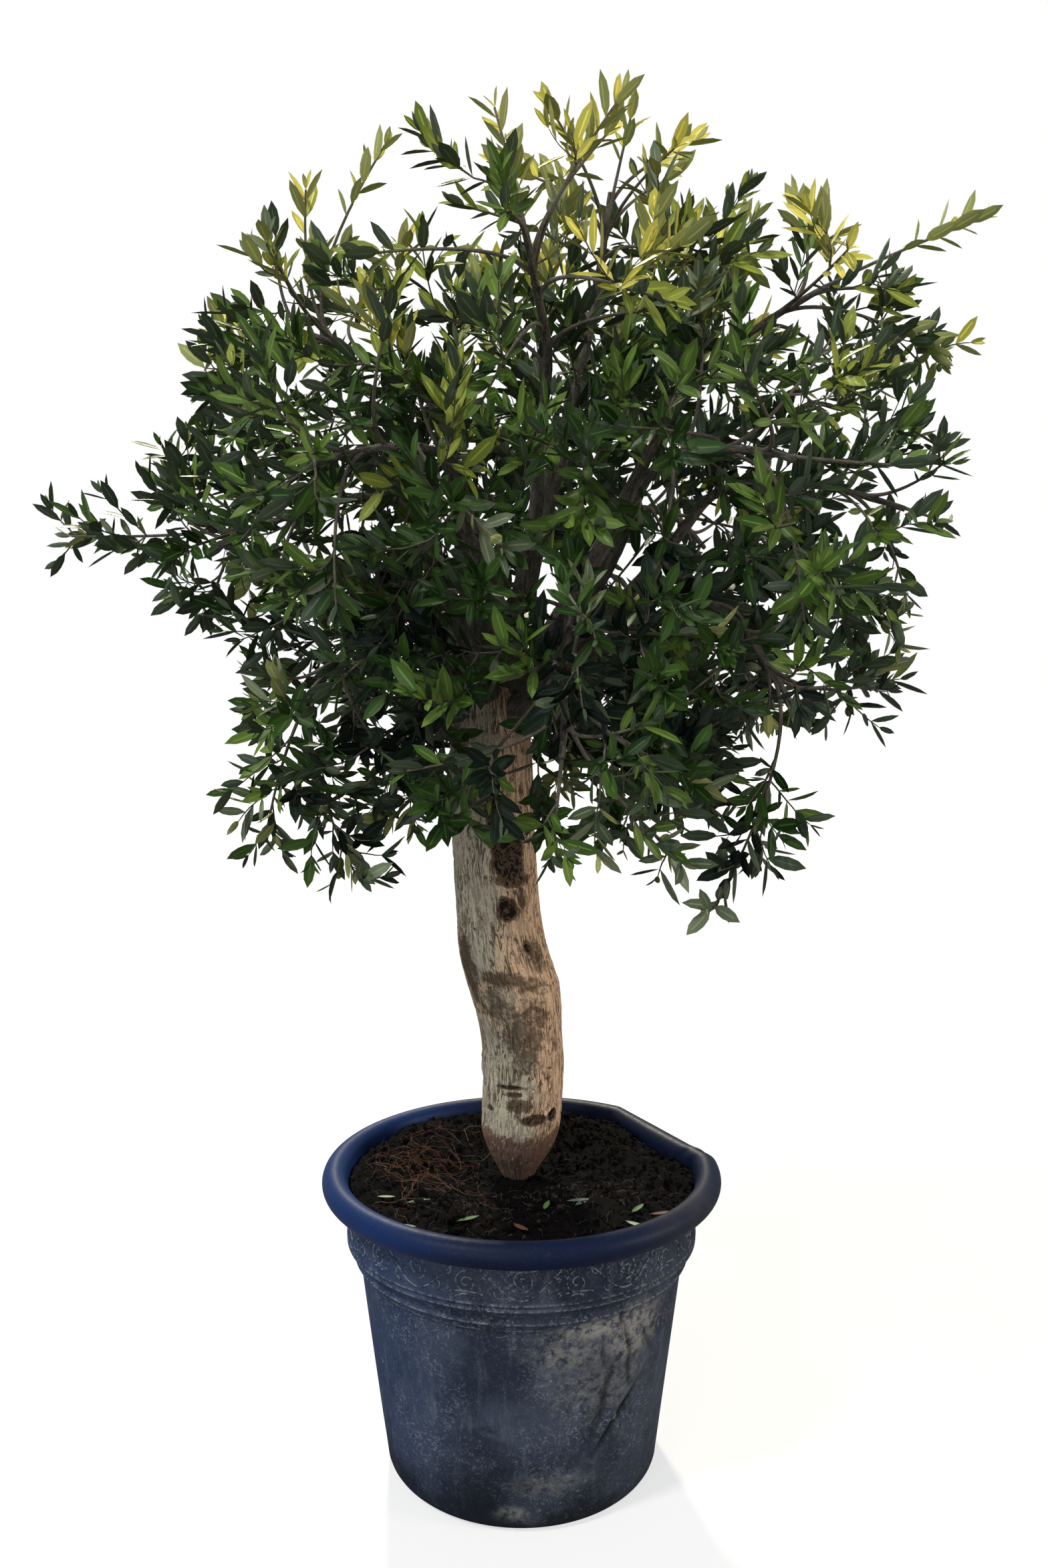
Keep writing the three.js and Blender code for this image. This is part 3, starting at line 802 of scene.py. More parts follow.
HIGH = 0.24
LOW = 0.34
MASSES = (
    Mass("top", -10, 80, 0.590, HIGH, "trunk", 0.97),
    Mass("upper_front", -98, 42, 0.570, HIGH, "top", 0.34),
    Mass("upper_right", -12, 38, 0.630, HIGH, "trunk", 0.94),
    Mass("upper_back", 84, 42, 0.600, HIGH, "top", 0.22),
    Mass("upper_left", 180, 34, 0.610, HIGH, "trunk", 0.95),
    Mass("front_right", -54, 2, 0.600, HIGH, "trunk", 0.90),
    Mass("right", -4, 0, 0.655, HIGH, "upper_right", 0.16),
    Mass("back_right", 54, -2, 0.600, HIGH, "trunk", 0.91),
    Mass("back_left", 116, 0, 0.600, HIGH, "trunk", 0.92),
    Mass("left", 181, -6, 0.645, HIGH, "upper_left", 0.18),
    Mass("front_left", -130, 2, 0.600, HIGH, "trunk", 0.93),
    Mass("low_front", -90, -44, 0.610, LOW, "front_right", 0.20),
    Mass("low_right", -26, -38, 0.565, LOW, "front_right", 0.14),
    Mass("low_back_right", 58, -42, 0.630, LOW, "back_right", 0.16),
    Mass("low_back_left", 126, -42, 0.640, LOW, "trunk", 0.90),
    Mass("low_left", 194, -38, 0.610, LOW, "trunk", 0.88),
)
# The long shoots of a mass: turn and rise in degrees, and reach from the crown's middle.
LONG_SHOOTS = {
    "top": ((-100, 76, 0.560), (-25, 78, 0.585), (20, 68, 0.560), (150, 78, 0.540)),
    "upper_front": ((-110, 62, 0.560), (-75, 56, 0.580)),
    "upper_right": ((-8, 33, 0.735), (-4, 21, 0.610)),
    "upper_left": ((168, 66, 0.620), (180, 17, 0.565), (176, 44, 0.610), (190, 52, 0.590)),
    "left": ((181, -3, 0.740), (178, 9, 0.595)),
    "low_front": ((-60, -56, 0.590),),
    "low_right": ((-45, -62, 0.640), (2, -27, 0.565)),
    "low_left": ((205, -60, 0.625), (190, -48, 0.650)),
}
# The trunk's stations from soil level to its head: height, sideways and radius.
TRUNK_STATIONS = (
    (0.4133, -0.006, 0.024), (0.429, -0.006, 0.032), (0.456, -0.004, 0.048), (0.485, -0.003, 0.0590),
    (0.520, -0.001, 0.0620), (0.590, 0.002, 0.0635), (0.650, -0.002, 0.0645), (0.706, -0.010, 0.071),
    (0.738, -0.018, 0.0715), (0.790, -0.030, 0.067), (0.860, -0.037, 0.064), (0.970, -0.044, 0.063),
    (1.065, -0.047, 0.062), (1.125, -0.048, 0.055), (1.160, -0.048, 0.040),
)  # fmt: skip


def trunk_line(count: int) -> tuple[Array, Array]:
    """The trunk's centres, one per row, and its radii, at evenly stepped heights."""
    set_back = 0.048
    table = between_rows(np.array(TRUNK_STATIONS), np.linspace(0, len(TRUNK_STATIONS) - 1, 40 * count))
    heights = np.linspace(table[0, 0], table[-1, 0], count)
    sideways, radii = (np.interp(heights, table[:, 0], table[:, column]) for column in (1, 2))
    return np.column_stack((sideways, np.full(count, set_back), heights)), radii


class Skeleton:
    """The lines of the tree's limbs, by the rule that the solids follow."""

    middle = np.array((0.050, 0.030, 1.430))
    girth = 0.250
    root_radius = 0.025
    side_share = 0.62
    tip_radius = 0.008
    taper = 0.8
    flare = 0.4
    flare_share = 0.07
    lift = 0.2
    into_mass = 0.1
    leader_tip = 0.0045
    leader_heading = 0.35
    leader_end = 0.4

    def __init__(self) -> None:
        """Samples the trunk."""
        self.trunk, self.trunk_radii = trunk_line(161)
        self.by_name = {mass.name: mass for mass in MASSES}

    def centre_of(self, mass: Mass) -> Array:
        """The middle of a mass."""
        return self.middle + mass.outward * (mass.reach * mass.core + mass.half_depth)

    def bough(self, mass: Mass) -> Array:
        """The line of a mass's bough, from its parent limb to the mass's inner edge."""
        parent = self.trunk if mass.parent == "trunk" else self.bough(self.by_name[mass.parent])
        start = point_along(parent, mass.at)
        entry = self.centre_of(mass) - mass.outward * mass.half_depth * (1 - 2 * self.into_mass)
        span = entry - start
        sag = (-1 if span[2] > 0 else 1) * self.lift * math.hypot(span[0], span[1])
        return bezier(start, start + span / 2 + UP * sag, entry, 41)

    def leader(self, mass: Mass) -> Array:
        """The line of a mass's leading stem, which carries its bough on."""
        bough = self.bough(mass)
        heading = unit(bough[-1] - bough[-2])
        end = self.centre_of(mass) + mass.outward * mass.half_depth * self.leader_end
        reach = np.linalg.norm(end - bough[-1])
        return bezier(bough[-1], bough[-1] + heading * reach * self.leader_heading, end, 25)

    def limb(self, mass: Mass) -> tuple[Array, Array]:
        """The bough and the leader as one line, and its radii."""
        bough, leader = self.bough(mass), self.leader(mass)
        root = self.root_radius * (1 if mass.parent == "trunk" else self.side_share)
        share = np.linspace(0, 1, len(bough))
        flared = 1 + self.flare * np.exp(-share / self.flare_share)
        radii = (root + (self.tip_radius - root) * share**self.taper) * flared
        fading = np.linspace(self.tip_radius, self.leader_tip, len(leader))
        return np.vstack((bough, leader[1:])), np.concatenate((radii, fading[1:]))

    @cached_property
    def stretches(self) -> tuple[Array, Array, Array]:
        """The starts, ends and radii of short stretches of all limbs."""
        limbs = [(self.trunk, self.trunk_radii), *map(self.limb, MASSES)]
        lines = [line[::4] for line, _ in limbs]
        radii = np.concatenate([radii[::4][:-1] for _, radii in limbs])
        return np.vstack([line[:-1] for line in lines]), np.vstack([line[1:] for line in lines]), radii

    def clear(self, points: Array, margin: float) -> Array:
        """Whether each point is further from every limb's surface than a margin."""
        starts, ends, radii = self.stretches
        span = ends - starts
        away = points[:, None] - starts
        share = np.clip((away * span).sum(-1) / (span**2).sum(-1), 0, 1)
        nearest = np.linalg.norm(away - share[..., None] * span, axis=-1)
        return (nearest > radii + margin).all(axis=1)


@dataclass
class Timber:
    """The trunk and the boughs, with their fissures, knots and healed cuts."""

    skeleton: Skeleton
    sides: int = 204
    rings: int = 372
    bough_sides: int = 18
    ring_step: float = 0.006
    soil_line: float = 0.497
    mean_radius: float = 0.064
    scars: tuple[Scar, ...] = (
        Scar(Mark.WOUND, 0.968, -78, 0.050, 0.019), Scar(Mark.WOUND, 0.925, -71, 0.034, 0.026),
        Scar(Mark.WOUND, 0.893, -67, 0.018, 0.021, 0.8), Scar(Mark.KNOT, 0.846, -75, 0.017, 0.020),
        Scar(Mark.KNOT, 0.862, -56, 0.022, 0.008, 0.6), Scar(Mark.KNOT, 0.785, -56, 0.016, 0.010, 0.8),
        Scar(Mark.STAIN, 0.775, -48, 0.030, 0.026, 0.85), Scar(Mark.STAIN, 0.742, -100, 0.017, 0.040, 1.05),
        Scar(Mark.STAIN, 0.732, -62, 0.018, 0.034, 0.80), Scar(Mark.STAIN, 0.750, -146, 0.055, 0.022, 1.15),
        Scar(Mark.STAIN, 0.700, -118, 0.045, 0.034, 0.85), Scar(Mark.STAIN, 0.685, -66, 0.034, 0.034, 0.85),
        Scar(Mark.SWELLING, 0.775, -150, 0.030, 0.030, 0.7), Scar(Mark.SCAR, 0.573, -109, 0.004, 0.020, 1.2),
        Scar(Mark.SCAR, 0.562, -100, 0.004, 0.012, 1.1), Scar(Mark.STAIN, 0.546, -98, 0.012, 0.024, 1.2),
        Scar(Mark.SCAR, 0.535, -141, 0.005, 0.010, 1.1), Scar(Mark.SCAR, 0.522, -70, 0.008, 0.022, 1.2),
        Scar(Mark.KNOT, 0.525, -44, 0.012, 0.011, 1.0), Scar(Mark.SCAR, 0.600, -50, 0.003, 0.008, 0.6),
        Scar(Mark.SCAR, 0.585, -51, 0.003, 0.009, 0.6), Scar(Mark.SCAR, 0.702, -60, 0.003, 0.018, 0.6),
        Scar(Mark.SCAR, 0.716, -48, 0.003, 0.016, 0.5), Scar(Mark.STAIN, 0.645, -88, 0.060, 0.044, 0.95),
        Scar(Mark.KNOT, 0.930, 95, 0.022, 0.018, 0.9), Scar(Mark.STAIN, 0.800, 60, 0.040, 0.026, 0.6),
        Scar(Mark.SCAR, 0.640, 120, 0.006, 0.022, 0.8), Scar(Mark.WOUND, 0.700, 30, 0.030, 0.016, 0.7),
        Scar(Mark.KNOT, 0.590, 170, 0.014, 0.012, 0.8),
    )  # fmt: skip

    @staticmethod
    def relief_tree() -> Shaping:
        """The tree that lifts bark off a smooth limb: long fissures and soft lumps."""
        fissures = {"Fissure_Depth": 0.0014, "Fissures": 120.0, "Stretch": 6.0}
        tree = Shaping("Bark Relief", **fissures, Lump_Height=0.003, Lumps=24.0, Bark="Material")
        given = tree.given
        place = tree.stored("bark_place", "FLOAT_VECTOR")
        long_way = tree.joined(1.0, 1.0, tree.math("DIVIDE", 1.0, given["Stretch"]))
        crack = tree.winding_lines(tree.vector("MULTIPLY", place, long_way), given["Fissures"], 0.09)
        lumps = tree.minus(tree.noise(place, given["Lumps"], 3, 0.5), 0.5)
        lift = tree.minus(tree.times(lumps, given["Lump Height"]), tree.times(crack, given["Fissure Depth"]))
        normal = tree.add("GeometryNodeInputNormal").outputs[0]
        lifted = tree.move(given["Geometry"], Offset=tree.vector("SCALE", normal, lift))
        return tree.finish(lifted, (None, "Bark"))

    def scarred(self, turn: Array, height: Array, radius: Array) -> tuple[Array, Array]:
        """How far the scars lift the trunk's surface, and how dark they stain it.

        Args:
            turn: the compass angle of each vertex, in radians.
            height: its height.
            radius: the trunk's radius there.

        Returns:
            The lift in metres and the stain from 0 to 1.
        """
        lift, stain = np.zeros_like(height), np.zeros_like(height)
        for number, scar in enumerate(self.scars):
            across = np.angle(np.exp(1j * (turn - math.radians(scar.turn)))) * radius
            ragged = 1 + 0.16 * np.sin(90 * across + 4 * number) + 0.12 * np.sin(150 * height + 2 * number)
            away = np.hypot(across / scar.wide, (height - scar.height) / scar.tall) * ragged
            ridges, (dark, outer, inner) = scar.mark.value
            for rise, middle, width in ridges:
                lift += rise * scar.strength * bell((away - middle) / width)
            stain = np.maximum(stain, dark * scar.strength * smoothstep(away, outer, inner))
        return lift, stain

    def make_trunk(self, bark: Material, relief: Shaping) -> Piece:
        """The trunk, from its cut at soil level to its rounded head.

        Args:
            bark: its material.
            relief: the tree that lifts the bark.

        Returns:
            The piece.
        """
        centres, radii = trunk_line(self.rings)
        turn = circle(self.sides)[None, :]
        height, radius = centres[:, 2:3] + 0 * turn, radii[:, None] + 0 * turn
        lobes = 1 + 0.014 * np.sin(2 * turn + 7 * height) + 0.009 * np.sin(3 * turn - 11 * height + 1)
        lift, stain = self.scarred(turn + 0 * height, height, radius)
        head = 0.012 * smoothstep(height, 1.10, 1.16)
        points = polar(radius * lobes + lift, turn, height + head)
        points[..., :2] += centres[:, None, :2]
        ends = (centres[0], centres[-1] + UP * 0.026)
        vertices = np.vstack((points.reshape(-1, 3), *ends))
        piece = link_mesh("trunk_base", vertices, tube_faces(self.rings, self.sides))
        # Painted light: the side facing +X is painted warmer tan, with a tan band near 0.70 m.
        lit_side = smoothstep(np.cos(turn) + 0.14 * np.sin(9 * height), -0.25, 0.60)
        wavy = self.soil_line + 0.006 * np.sin(turn * 2 + 1.4) + 0.002 * np.sin(turn * 9)
        soiled = smoothstep(height - wavy, 0.024, -0.024)
        layers = {"stain": stain, "warm": lit_side + 0.5 * bell((height - 0.70) / 0.06), "soiled": soiled}
        store(piece, **{name: np.append(values, (0, 0)) for name, values in layers.items()})
        store(piece, bark_place=np.vstack((polar(self.mean_radius, turn, height).reshape(-1, 3), *ends)))
        return relief.grow(piece, "trunk_bark", Fissure_Depth=0.0013, Fissures=130.0, Stretch=6.5, Bark=bark)

    def make_boughs(self, bark: Material, relief: Shaping) -> Piece:
        """All boughs with their leading stems, from the trunk's head out into the crown.

        Args:
            bark: their material.
            relief: the tree that lifts the bark.

        Returns:
            The piece.
        """
        points, places, faces = [], [], []
        turn = circle(self.bough_sides)
        for number, mass in enumerate(MASSES):
            line, radii = self.skeleton.limb(mass)
            lengths = lengths_along(line)
            steps = np.linspace(0, lengths[-1], max(8, int(lengths[-1] / self.ring_step)))
            centre = points_at(line, steps, lengths)
            thick = np.interp(steps, lengths, radii)[:, None]
            first, second = square_to(tangents(centre), square_to(unit(line[-1] - line[0]))[0])
            sway = (0.004 * np.sin(steps * 26 + number) * np.sin(math.pi * steps / steps[-1]))[:, None]
            centre = centre + first * sway
            out = first[:, None] * np.cos(turn)[:, None] + second[:, None] * np.sin(turn)[:, None]
            rings = (centre[:, None] + out * thick[..., None]).reshape(-1, 3)
            faces += tube_faces(len(steps), len(turn), sum(map(len, points)))
            points.append(np.vstack((rings, centre[0], centre[-1])))
            flat = polar(thick, turn, steps[:, None]).reshape(-1, 3) + (0, 0, 1.7 * number)
            places.append(np.vstack((flat, flat[0], flat[-1])))
        piece = link_mesh("bough_base", np.vstack(points), faces)
        store(piece, bark_place=np.vstack(places), warm=np.full(sum(map(len, points)), 0.2))
        sizes = {"Fissure_Depth": 0.0007, "Fissures": 170.0, "Lump_Height": 0.0022, "Lumps": 45.0}
        return relief.grow(piece, "bough_bark", **sizes, Bark=bark)

    def build(self) -> None:
        """Builds and hands over the trunk and the boughs."""
        relief = self.relief_tree()
        trunk_bark = BarkFinish("olive_bark", (0.62, 0.545, 0.405), (0.92, 0.62, 0.40), (0.085, 0.055, 0.033))
        colours = ((0.17, 0.155, 0.130), (0.20, 0.155, 0.110), (0.045, 0.036, 0.028))
        bough_bark = BarkFinish("bough_bark", *colours, lines_per_metre=260)
        hand_over(self.make_trunk(trunk_bark.make(), relief), "bark", "trunk")
        boughs = self.make_boughs(bough_bark.make(), relief)
        hand_over(boughs, "bark", *(f"bough_{mass.name}" for mass in MASSES))


# ---- crown ----


class Shoot(NamedTuple):
    """A stem: its line, its radius at foot and tip, where its leaves start, and its spray's green."""

    line: Array
    foot: float
    tip: float
    bare: float = 1
    tint: Tint = Tint.MID


class Leaf(NamedTuple):
    """A leaf: its root, its direction, what way its upper side faces, its size and its green."""

    root: Array
    direction: Array
    face: Array
    size: float
    tint: Tint


def number_stream(seed: int) -> Iterator[float]:
    """The solids' stream of numbers from 0 to 1, the same in every run."""
    state = seed
    while True:
        state = (state * 1664525 + 1013904223) & 0xFFFFFFFF
        yield state / 2**32


def leaf_tree() -> Shaping:
    """The tree that sets a folded, pointed leaf on every point, by its stored turn, size, droop and face."""
    sizes = {"Leaf_Length": 0.062, "Leaf_Width": 0.018, "Fold": 0.0022, "Thickness": 0.0006}
    tree = Shaping("Leaf Sprays", **sizes, Upper="Material", Under="Material")
    given = tree.given
    grid = tree.add("GeometryNodeMeshGrid", 1.0, 1.0, 3, 5).outputs[0]
    corner = tree.split(tree.here())
    along = tree.plus(corner[1], 0.5)
    swell = tree.math("SINE", tree.times(along, math.pi))
    outline = tree.math("POWER", tree.math("MAXIMUM", swell, 0.0), 0.6)
    across = tree.times(corner[0], given["Leaf Width"], outline)
    rib = tree.minus(1.0, tree.math("ABSOLUTE", tree.times(corner[0], 2.0)))
    both = tree.add("GeometryNodeJoinGeometry")
    for is_under in (True, False):
        depth = tree.plus(given["Fold"], given["Thickness"]) if is_under else given["Fold"]
        sunk = tree.times(rib, outline, depth, -1.0)
        place = tree.joined(across, tree.times(along, given["Leaf Length"]), sunk)
        kept = tree.keep(tree.keep(grid, "along", along), "rib", rib)
        blade = tree.move(kept, Position=place)
        if is_under:
            blade = tree.add("GeometryNodeFlipFaces", blade)
        blade = tree.keep(blade, "is_under", is_under, data_type="BOOLEAN", domain="FACE")
        tree.feed(both.inputs[0], blade)
    leaf = tree.add("GeometryNodeMergeByDistance", both, named={"Distance": 0.00002})
    turn, size = tree.stored("turn", "QUATERNION"), tree.stored("size")
    whole = tree.whole(tree.repeat(given["Geometry"], Instance=leaf, Rotation=turn, Scale=size))
    sag = tree.times(tree.math("POWER", tree.stored("along"), 2.0), tree.stored("droop"), -1.0)
    bent = tree.move(whole, Offset=tree.vector("SCALE", tree.stored("face", "FLOAT_VECTOR"), sag))
    sharp = tree.math("GREATER_THAN", tree.add("GeometryNodeInputMeshEdgeAngle"), 1.4)
    rimmed = tree.smooth(tree.smooth(bent), sharp, False, domain="EDGE")
    return tree.finish(rimmed, (None, "Upper"), (tree.stored("is_under", "BOOLEAN"), "Under"))


def tube_tree() -> Shaping:
    """The tree that gives lines their stored thickness."""
    tree = Shaping("Round Stems", Sides=5, Finish="Material")
    tubes = tree.tubes(tree.given["Geometry"], tree.given["Sides"], tree.stored("thickness"))
    return tree.finish(tree.smooth(tubes), (None, "Finish"))


def make_stems(tubes: Shaping, name: str, shoots: list[Shoot], sides: int, finish: Material) -> Piece:
    """Round stems along the lines of shoots.

    Args:
        tubes: the tree that thickens them.
        name: the piece's name.
        shoots: the shoots.
        sides: the stems' sides.
        finish: their material.

    Returns:
        The piece.
    """
    base = line_mesh(f"{name}_lines", [shoot.line for shoot in shoots])
    thickness = [np.linspace(shoot.foot, shoot.tip, len(shoot.line)) for shoot in shoots]
    store(base, thickness=np.concatenate(thickness))
    return tubes.grow(base, name, Sides=sides, Finish=finish)


@dataclass
class Crown:
    """The twigs, shoots, leaves and fruit, grown mass by mass from the leading stems."""

    skeleton: Skeleton
    twig_count: int = 8
    twig_spread: float = math.radians(120)
    first_seed: int = 101
    wall_slack: float = 0.030
    # The crown from the front: height, and how far it gets to the left and to the right.
    outline: tuple[tuple[float, float, float], ...] = (
        (0.82, -0.20, 0.31), (0.92, -0.33, 0.27), (1.01, -0.35, 0.33), (1.10, -0.42, 0.35),
        (1.16, -0.44, 0.51), (1.24, -0.45, 0.59), (1.33, -0.58, 0.61), (1.42, -0.70, 0.66),
        (1.50, -0.56, 0.66), (1.68, -0.48, 0.60), (1.77, -0.44, 0.57), (1.85, -0.38, 0.50),
        (1.94, -0.24, 0.36), (2.03, -0.12, 0.18),
    )  # fmt: skip
    outline_margin: float = 0.028
    front_distance: float = 1.87
    eye_height: float = 1.2
    bare_front: tuple[float, float, float] = (-0.110, 0.015, 0.930)
    long_growth: float = 1.5
    leaf_length: float = 0.048
    leaf_width: float = 0.0155
    node_step: float = 0.0178
    silver_share: float = 0.06
    aim_gap: float = 0.102
    low_gap: float = 0.085
    low_rise: float = -30
    aim_tries: int = 2400
    fill: float = 0.89
    thinning: float = 0.75
    thins_over: tuple[float, float] = (1.76, 1.95)
    sprig_step: float = 0.034
    sprig_length: tuple[float, float] = (0.085, 0.160)
    sprig_growth: float = 1.1
    shortest: float = 0.030
    longest: float = 0.230
    spur_length: tuple[float, float] = (0.040, 0.080)
    root_room: float = 0.090
    box_margin: float = 0.012
    fruit_count: int = 46

    def __post_init__(self) -> None:
        """Prepares the growth's number source and the masses' walls."""
        self.random = np.random.default_rng(7)
        self.shoots: list[Shoot] = []
        self.centres = {mass.name: self.skeleton.centre_of(mass) for mass in MASSES}

    def inside(self, mass: Mass, points: Array, grown_by: float) -> Array:
        """Whether points lie in a mass's egg-shaped space and behind its halfway planes.

        Args:
            mass: the mass.
            points: one per row.
            grown_by: how much larger than its own size the egg is taken.

        Returns:
            One truth value per point.
        """
        centre = self.centres[mass.name]
        offset = points - centre
        depth = offset @ mass.outward
        girth = np.linalg.norm(offset - depth[:, None] * mass.outward, axis=1)
        kept = (depth / mass.half_depth) ** 2 + (girth / self.skeleton.girth) ** 2 < grown_by**2
        for name, other in self.centres.items():
            if name != mass.name:
                apart = other - centre
                span = np.linalg.norm(apart)
                kept &= offset @ (apart / span) < span / 2 + self.wall_slack
        return kept

    def from_front(self, points: Array) -> Array:
        """Where points stand across and up when they are seen from the front, on the plane of the trunk."""
        scale = (self.front_distance / (self.front_distance - 0.03 + points[:, 1]))[:, None]
        return ((points[:, ::2] - (0, self.eye_height)) * scale + (0, self.eye_height)).T

    def before_trunk(self, points: Array) -> Array:
        """Whether points hang before the bare part of the trunk."""
        across, up = self.from_front(points)
        left, right, top = self.bare_front
        return (across > left) & (across < right) & (up < top) & (points[:, 1] < 0.03)

    def trimmed(self, mass: Mass, line: Array, grown_by: float) -> Array:
        """The line up to where it leaves its mass's space or, past its own root, meets a limb."""
        fine = self.inside(mass, line, grown_by) & ((line > BOX_LOW) & (line < BOX_HIGH)).all(axis=1)
        if grown_by < self.long_growth:
            across, up = self.from_front(line)
            heights, left, right = zip(*self.outline)
            fine &= across > np.interp(up, heights, left) + self.outline_margin
            fine &= across < np.interp(up, heights, right) - self.outline_margin
        at_root = np.linalg.norm(line - line[0], axis=1) < self.root_room
        fine &= ~self.before_trunk(line) & (self.skeleton.clear(line, 0.002) | at_root)
        fine[0] = True
        return line if fine.all() else line[: int(np.argmin(fine))]

    def stem(self, root: Array, heading: Array, length: float, lift: float) -> Array:
        """A wavering line from a root, turning upwards as it grows.

        Args:
            root: where it starts.
            heading: the direction that it starts in.
            length: its length.
            lift: how strongly it turns up, or down where this is negative.

        Returns:
            Its points.
        """
        steps = 7
        share = np.linspace(0, 1, steps)[:, None]
        waver = np.cumsum(self.random.normal(0, 0.09, (steps, 3)), axis=0)
        headings = unit(heading + share * lift * UP + waver)
        return np.vstack((root, root + np.cumsum(headings * length / steps, axis=0)))

    def tint_for(self, point: Array) -> Tint:
        """The green that a spray at a point is dealt: painted light, brighter towards the top and the
        outside, and painted shade, darker inside.
        """
        out = np.linalg.norm((point - self.skeleton.middle) / (0.62, 0.50, 0.57))
        high = max(point[2] - 0.85, 0) / 1.15
        # Painted light: how much sun a spray gets, from its height and how far out it is.
        light = 0.82 * high**2.6 + 0.17 * out**2 + self.random.normal(0, 0.12)
        if out > 0.7 and self.random.random() < self.silver_share:
            return Tint.SILVER
        for tint, least in ((Tint.BACKLIT_GOLD, 0.62), (Tint.SUNLIT_GREEN, 0.46), (Tint.MID, 0.24), (Tint.DEEP, 0.07)):
            if light > least:
                return tint
        return Tint.SHADE

    def twig_lines(self, mass: Mass, seed: int) -> list[tuple[Array, float]]:
        """The lines of a mass's twigs: evenly round its outside, then its longest shoots.

        Args:
            mass: the mass.
            seed: the seed that its solid was grown from.

        Returns:
            Each twig's line, and how far past the mass's own size it may reach.
        """
        stream = number_stream(seed)
        leader = self.skeleton.leader(mass)
        aims = []
        for number in range(self.twig_count):
            share = (number + 0.7) / self.twig_count
            lean = math.acos(1 - share * (1 - math.cos(self.twig_spread)))
            turn = number * GOLDEN_ANGLE + 0.6 * (next(stream) - 0.5)
            aim = self.centres[mass.name] + mass.outward * math.cos(lean) * mass.half_depth
            aim = aim + round_to(square_to(mass.outward), turn) * math.sin(lean) * self.skeleton.girth
            aims.append((aim, 0.95 + (0.12 - 0.95) * share, 1.0))
        for turn, rise, reach in LONG_SHOOTS.get(mass.name, ()):
            aims.append((self.skeleton.middle + direction_at(turn, rise) * reach, 0.7, 2.0))
        lines = []
        for aim, at, grown_by in aims:
            root = point_along(leader, at)
            heading = unit(leader[min(int(at * 24) + 1, 24)] - leader[int(at * 24) - 1])
            span = np.linalg.norm(aim - root)
            end = root + (aim - root) * max(0.35, 1 - 0.6 * self.leaf_length / span)
            lines.append((bezier(root, root + heading * span * 0.3, end, 15), grown_by))
        return lines

    def aims(self, mass: Mass) -> Array:
        """Places spread evenly through a mass's space, for its sprigs to grow to."""
        first, second = square_to(mass.outward)
        ball = self.random.uniform(-1, 1, (self.aim_tries, 3))
        ball = ball[np.linalg.norm(ball, axis=1) < 1]
        girth = self.skeleton.girth
        axes = np.stack((mass.outward * mass.half_depth, first * girth, second * girth))
        places = self.centres[mass.name] + self.fill * ball @ axes
        places = places[self.inside(mass, places, 1.0) & self.skeleton.clear(places, 0.012)]
        kept = places[:1]
        gap = self.low_gap if mass.rise < self.low_rise else self.aim_gap
        for place in places[1:]:
            if np.linalg.norm(kept - place, axis=1).min() > gap:
                kept = np.vstack((kept, place))
        thinned = self.thinning * smoothstep(kept[:, 2], *self.thins_over)
        kept = kept[self.random.random(len(kept)) > thinned]
        return kept[np.argsort(np.linalg.norm(kept - self.skeleton.leader(mass)[0], axis=1))]

    def grow_mass(self, mass: Mass, seed: int) -> None:
        """Grows a mass: twigs from its leading stem, then sprigs that fill its space, each with its spurs."""
        lift = 0.26 + 0.20 * mass.rise / 60
        leader = self.skeleton.leader(mass)
        roots, headings = [leader], [tangents(leader)]
        for line, grown_by in self.twig_lines(mass, seed):
            line = self.trimmed(mass, line, grown_by)
            if len(line) < 5:
                continue
            roots.append(line)
            headings.append(tangents(line))
            self.shoots.append(Shoot(line, 0.0036, 0.0016, 0.62, self.tint_for(line[-1])))
            if grown_by > 1 and line[-1][2] < self.thins_over[0]:
                self.grow_sprigs(mass, line, grown_by, lift)
        for aim in self.aims(mass):
            sprig = self.sprig_to(aim, np.vstack(roots), np.vstack(headings), lift)
            sprig = () if sprig is None else self.trimmed(mass, sprig, self.sprig_growth)
            if len(sprig) < 5:
                continue
            roots.append(sprig[2:7])
            headings.append(tangents(sprig)[2:7])
            tint = self.tint_for(sprig[-1])
            self.shoots.append(Shoot(sprig, 0.0018, 0.0008, 0.15, tint))
            self.grow_spurs(mass, sprig, lift, tint)

    def sprig_to(self, aim: Array, roots: Array, headings: Array, lift: float) -> Array | None:
        """A sprig that grows outwards to an aim from the stem that reaches it best.

        Args:
            aim: where it ends.
            roots: the places that it may leave from.
            headings: the stem's direction at each of those.
            lift: how far it sags before it turns up, as a share of its length.

        Returns:
            Its points, or none where a stem already passes or none is near.
        """
        away = aim - roots
        span = np.linalg.norm(away, axis=1)
        best = int(np.argmin(span * (1.6 - away @ unit(aim - self.skeleton.middle) / span)))
        if span.min() < self.shortest or span[best] > self.longest:
            return None
        heading = unit(0.7 * headings[best] + away[best] / span[best])
        bend = roots[best] + heading * span[best] * 0.5 - UP * lift * span[best]
        sprig = bezier(roots[best], bend, aim, 9)
        sprig[1:] += np.cumsum(self.random.normal(0, 0.0012, (8, 3)), axis=0)
        return sprig

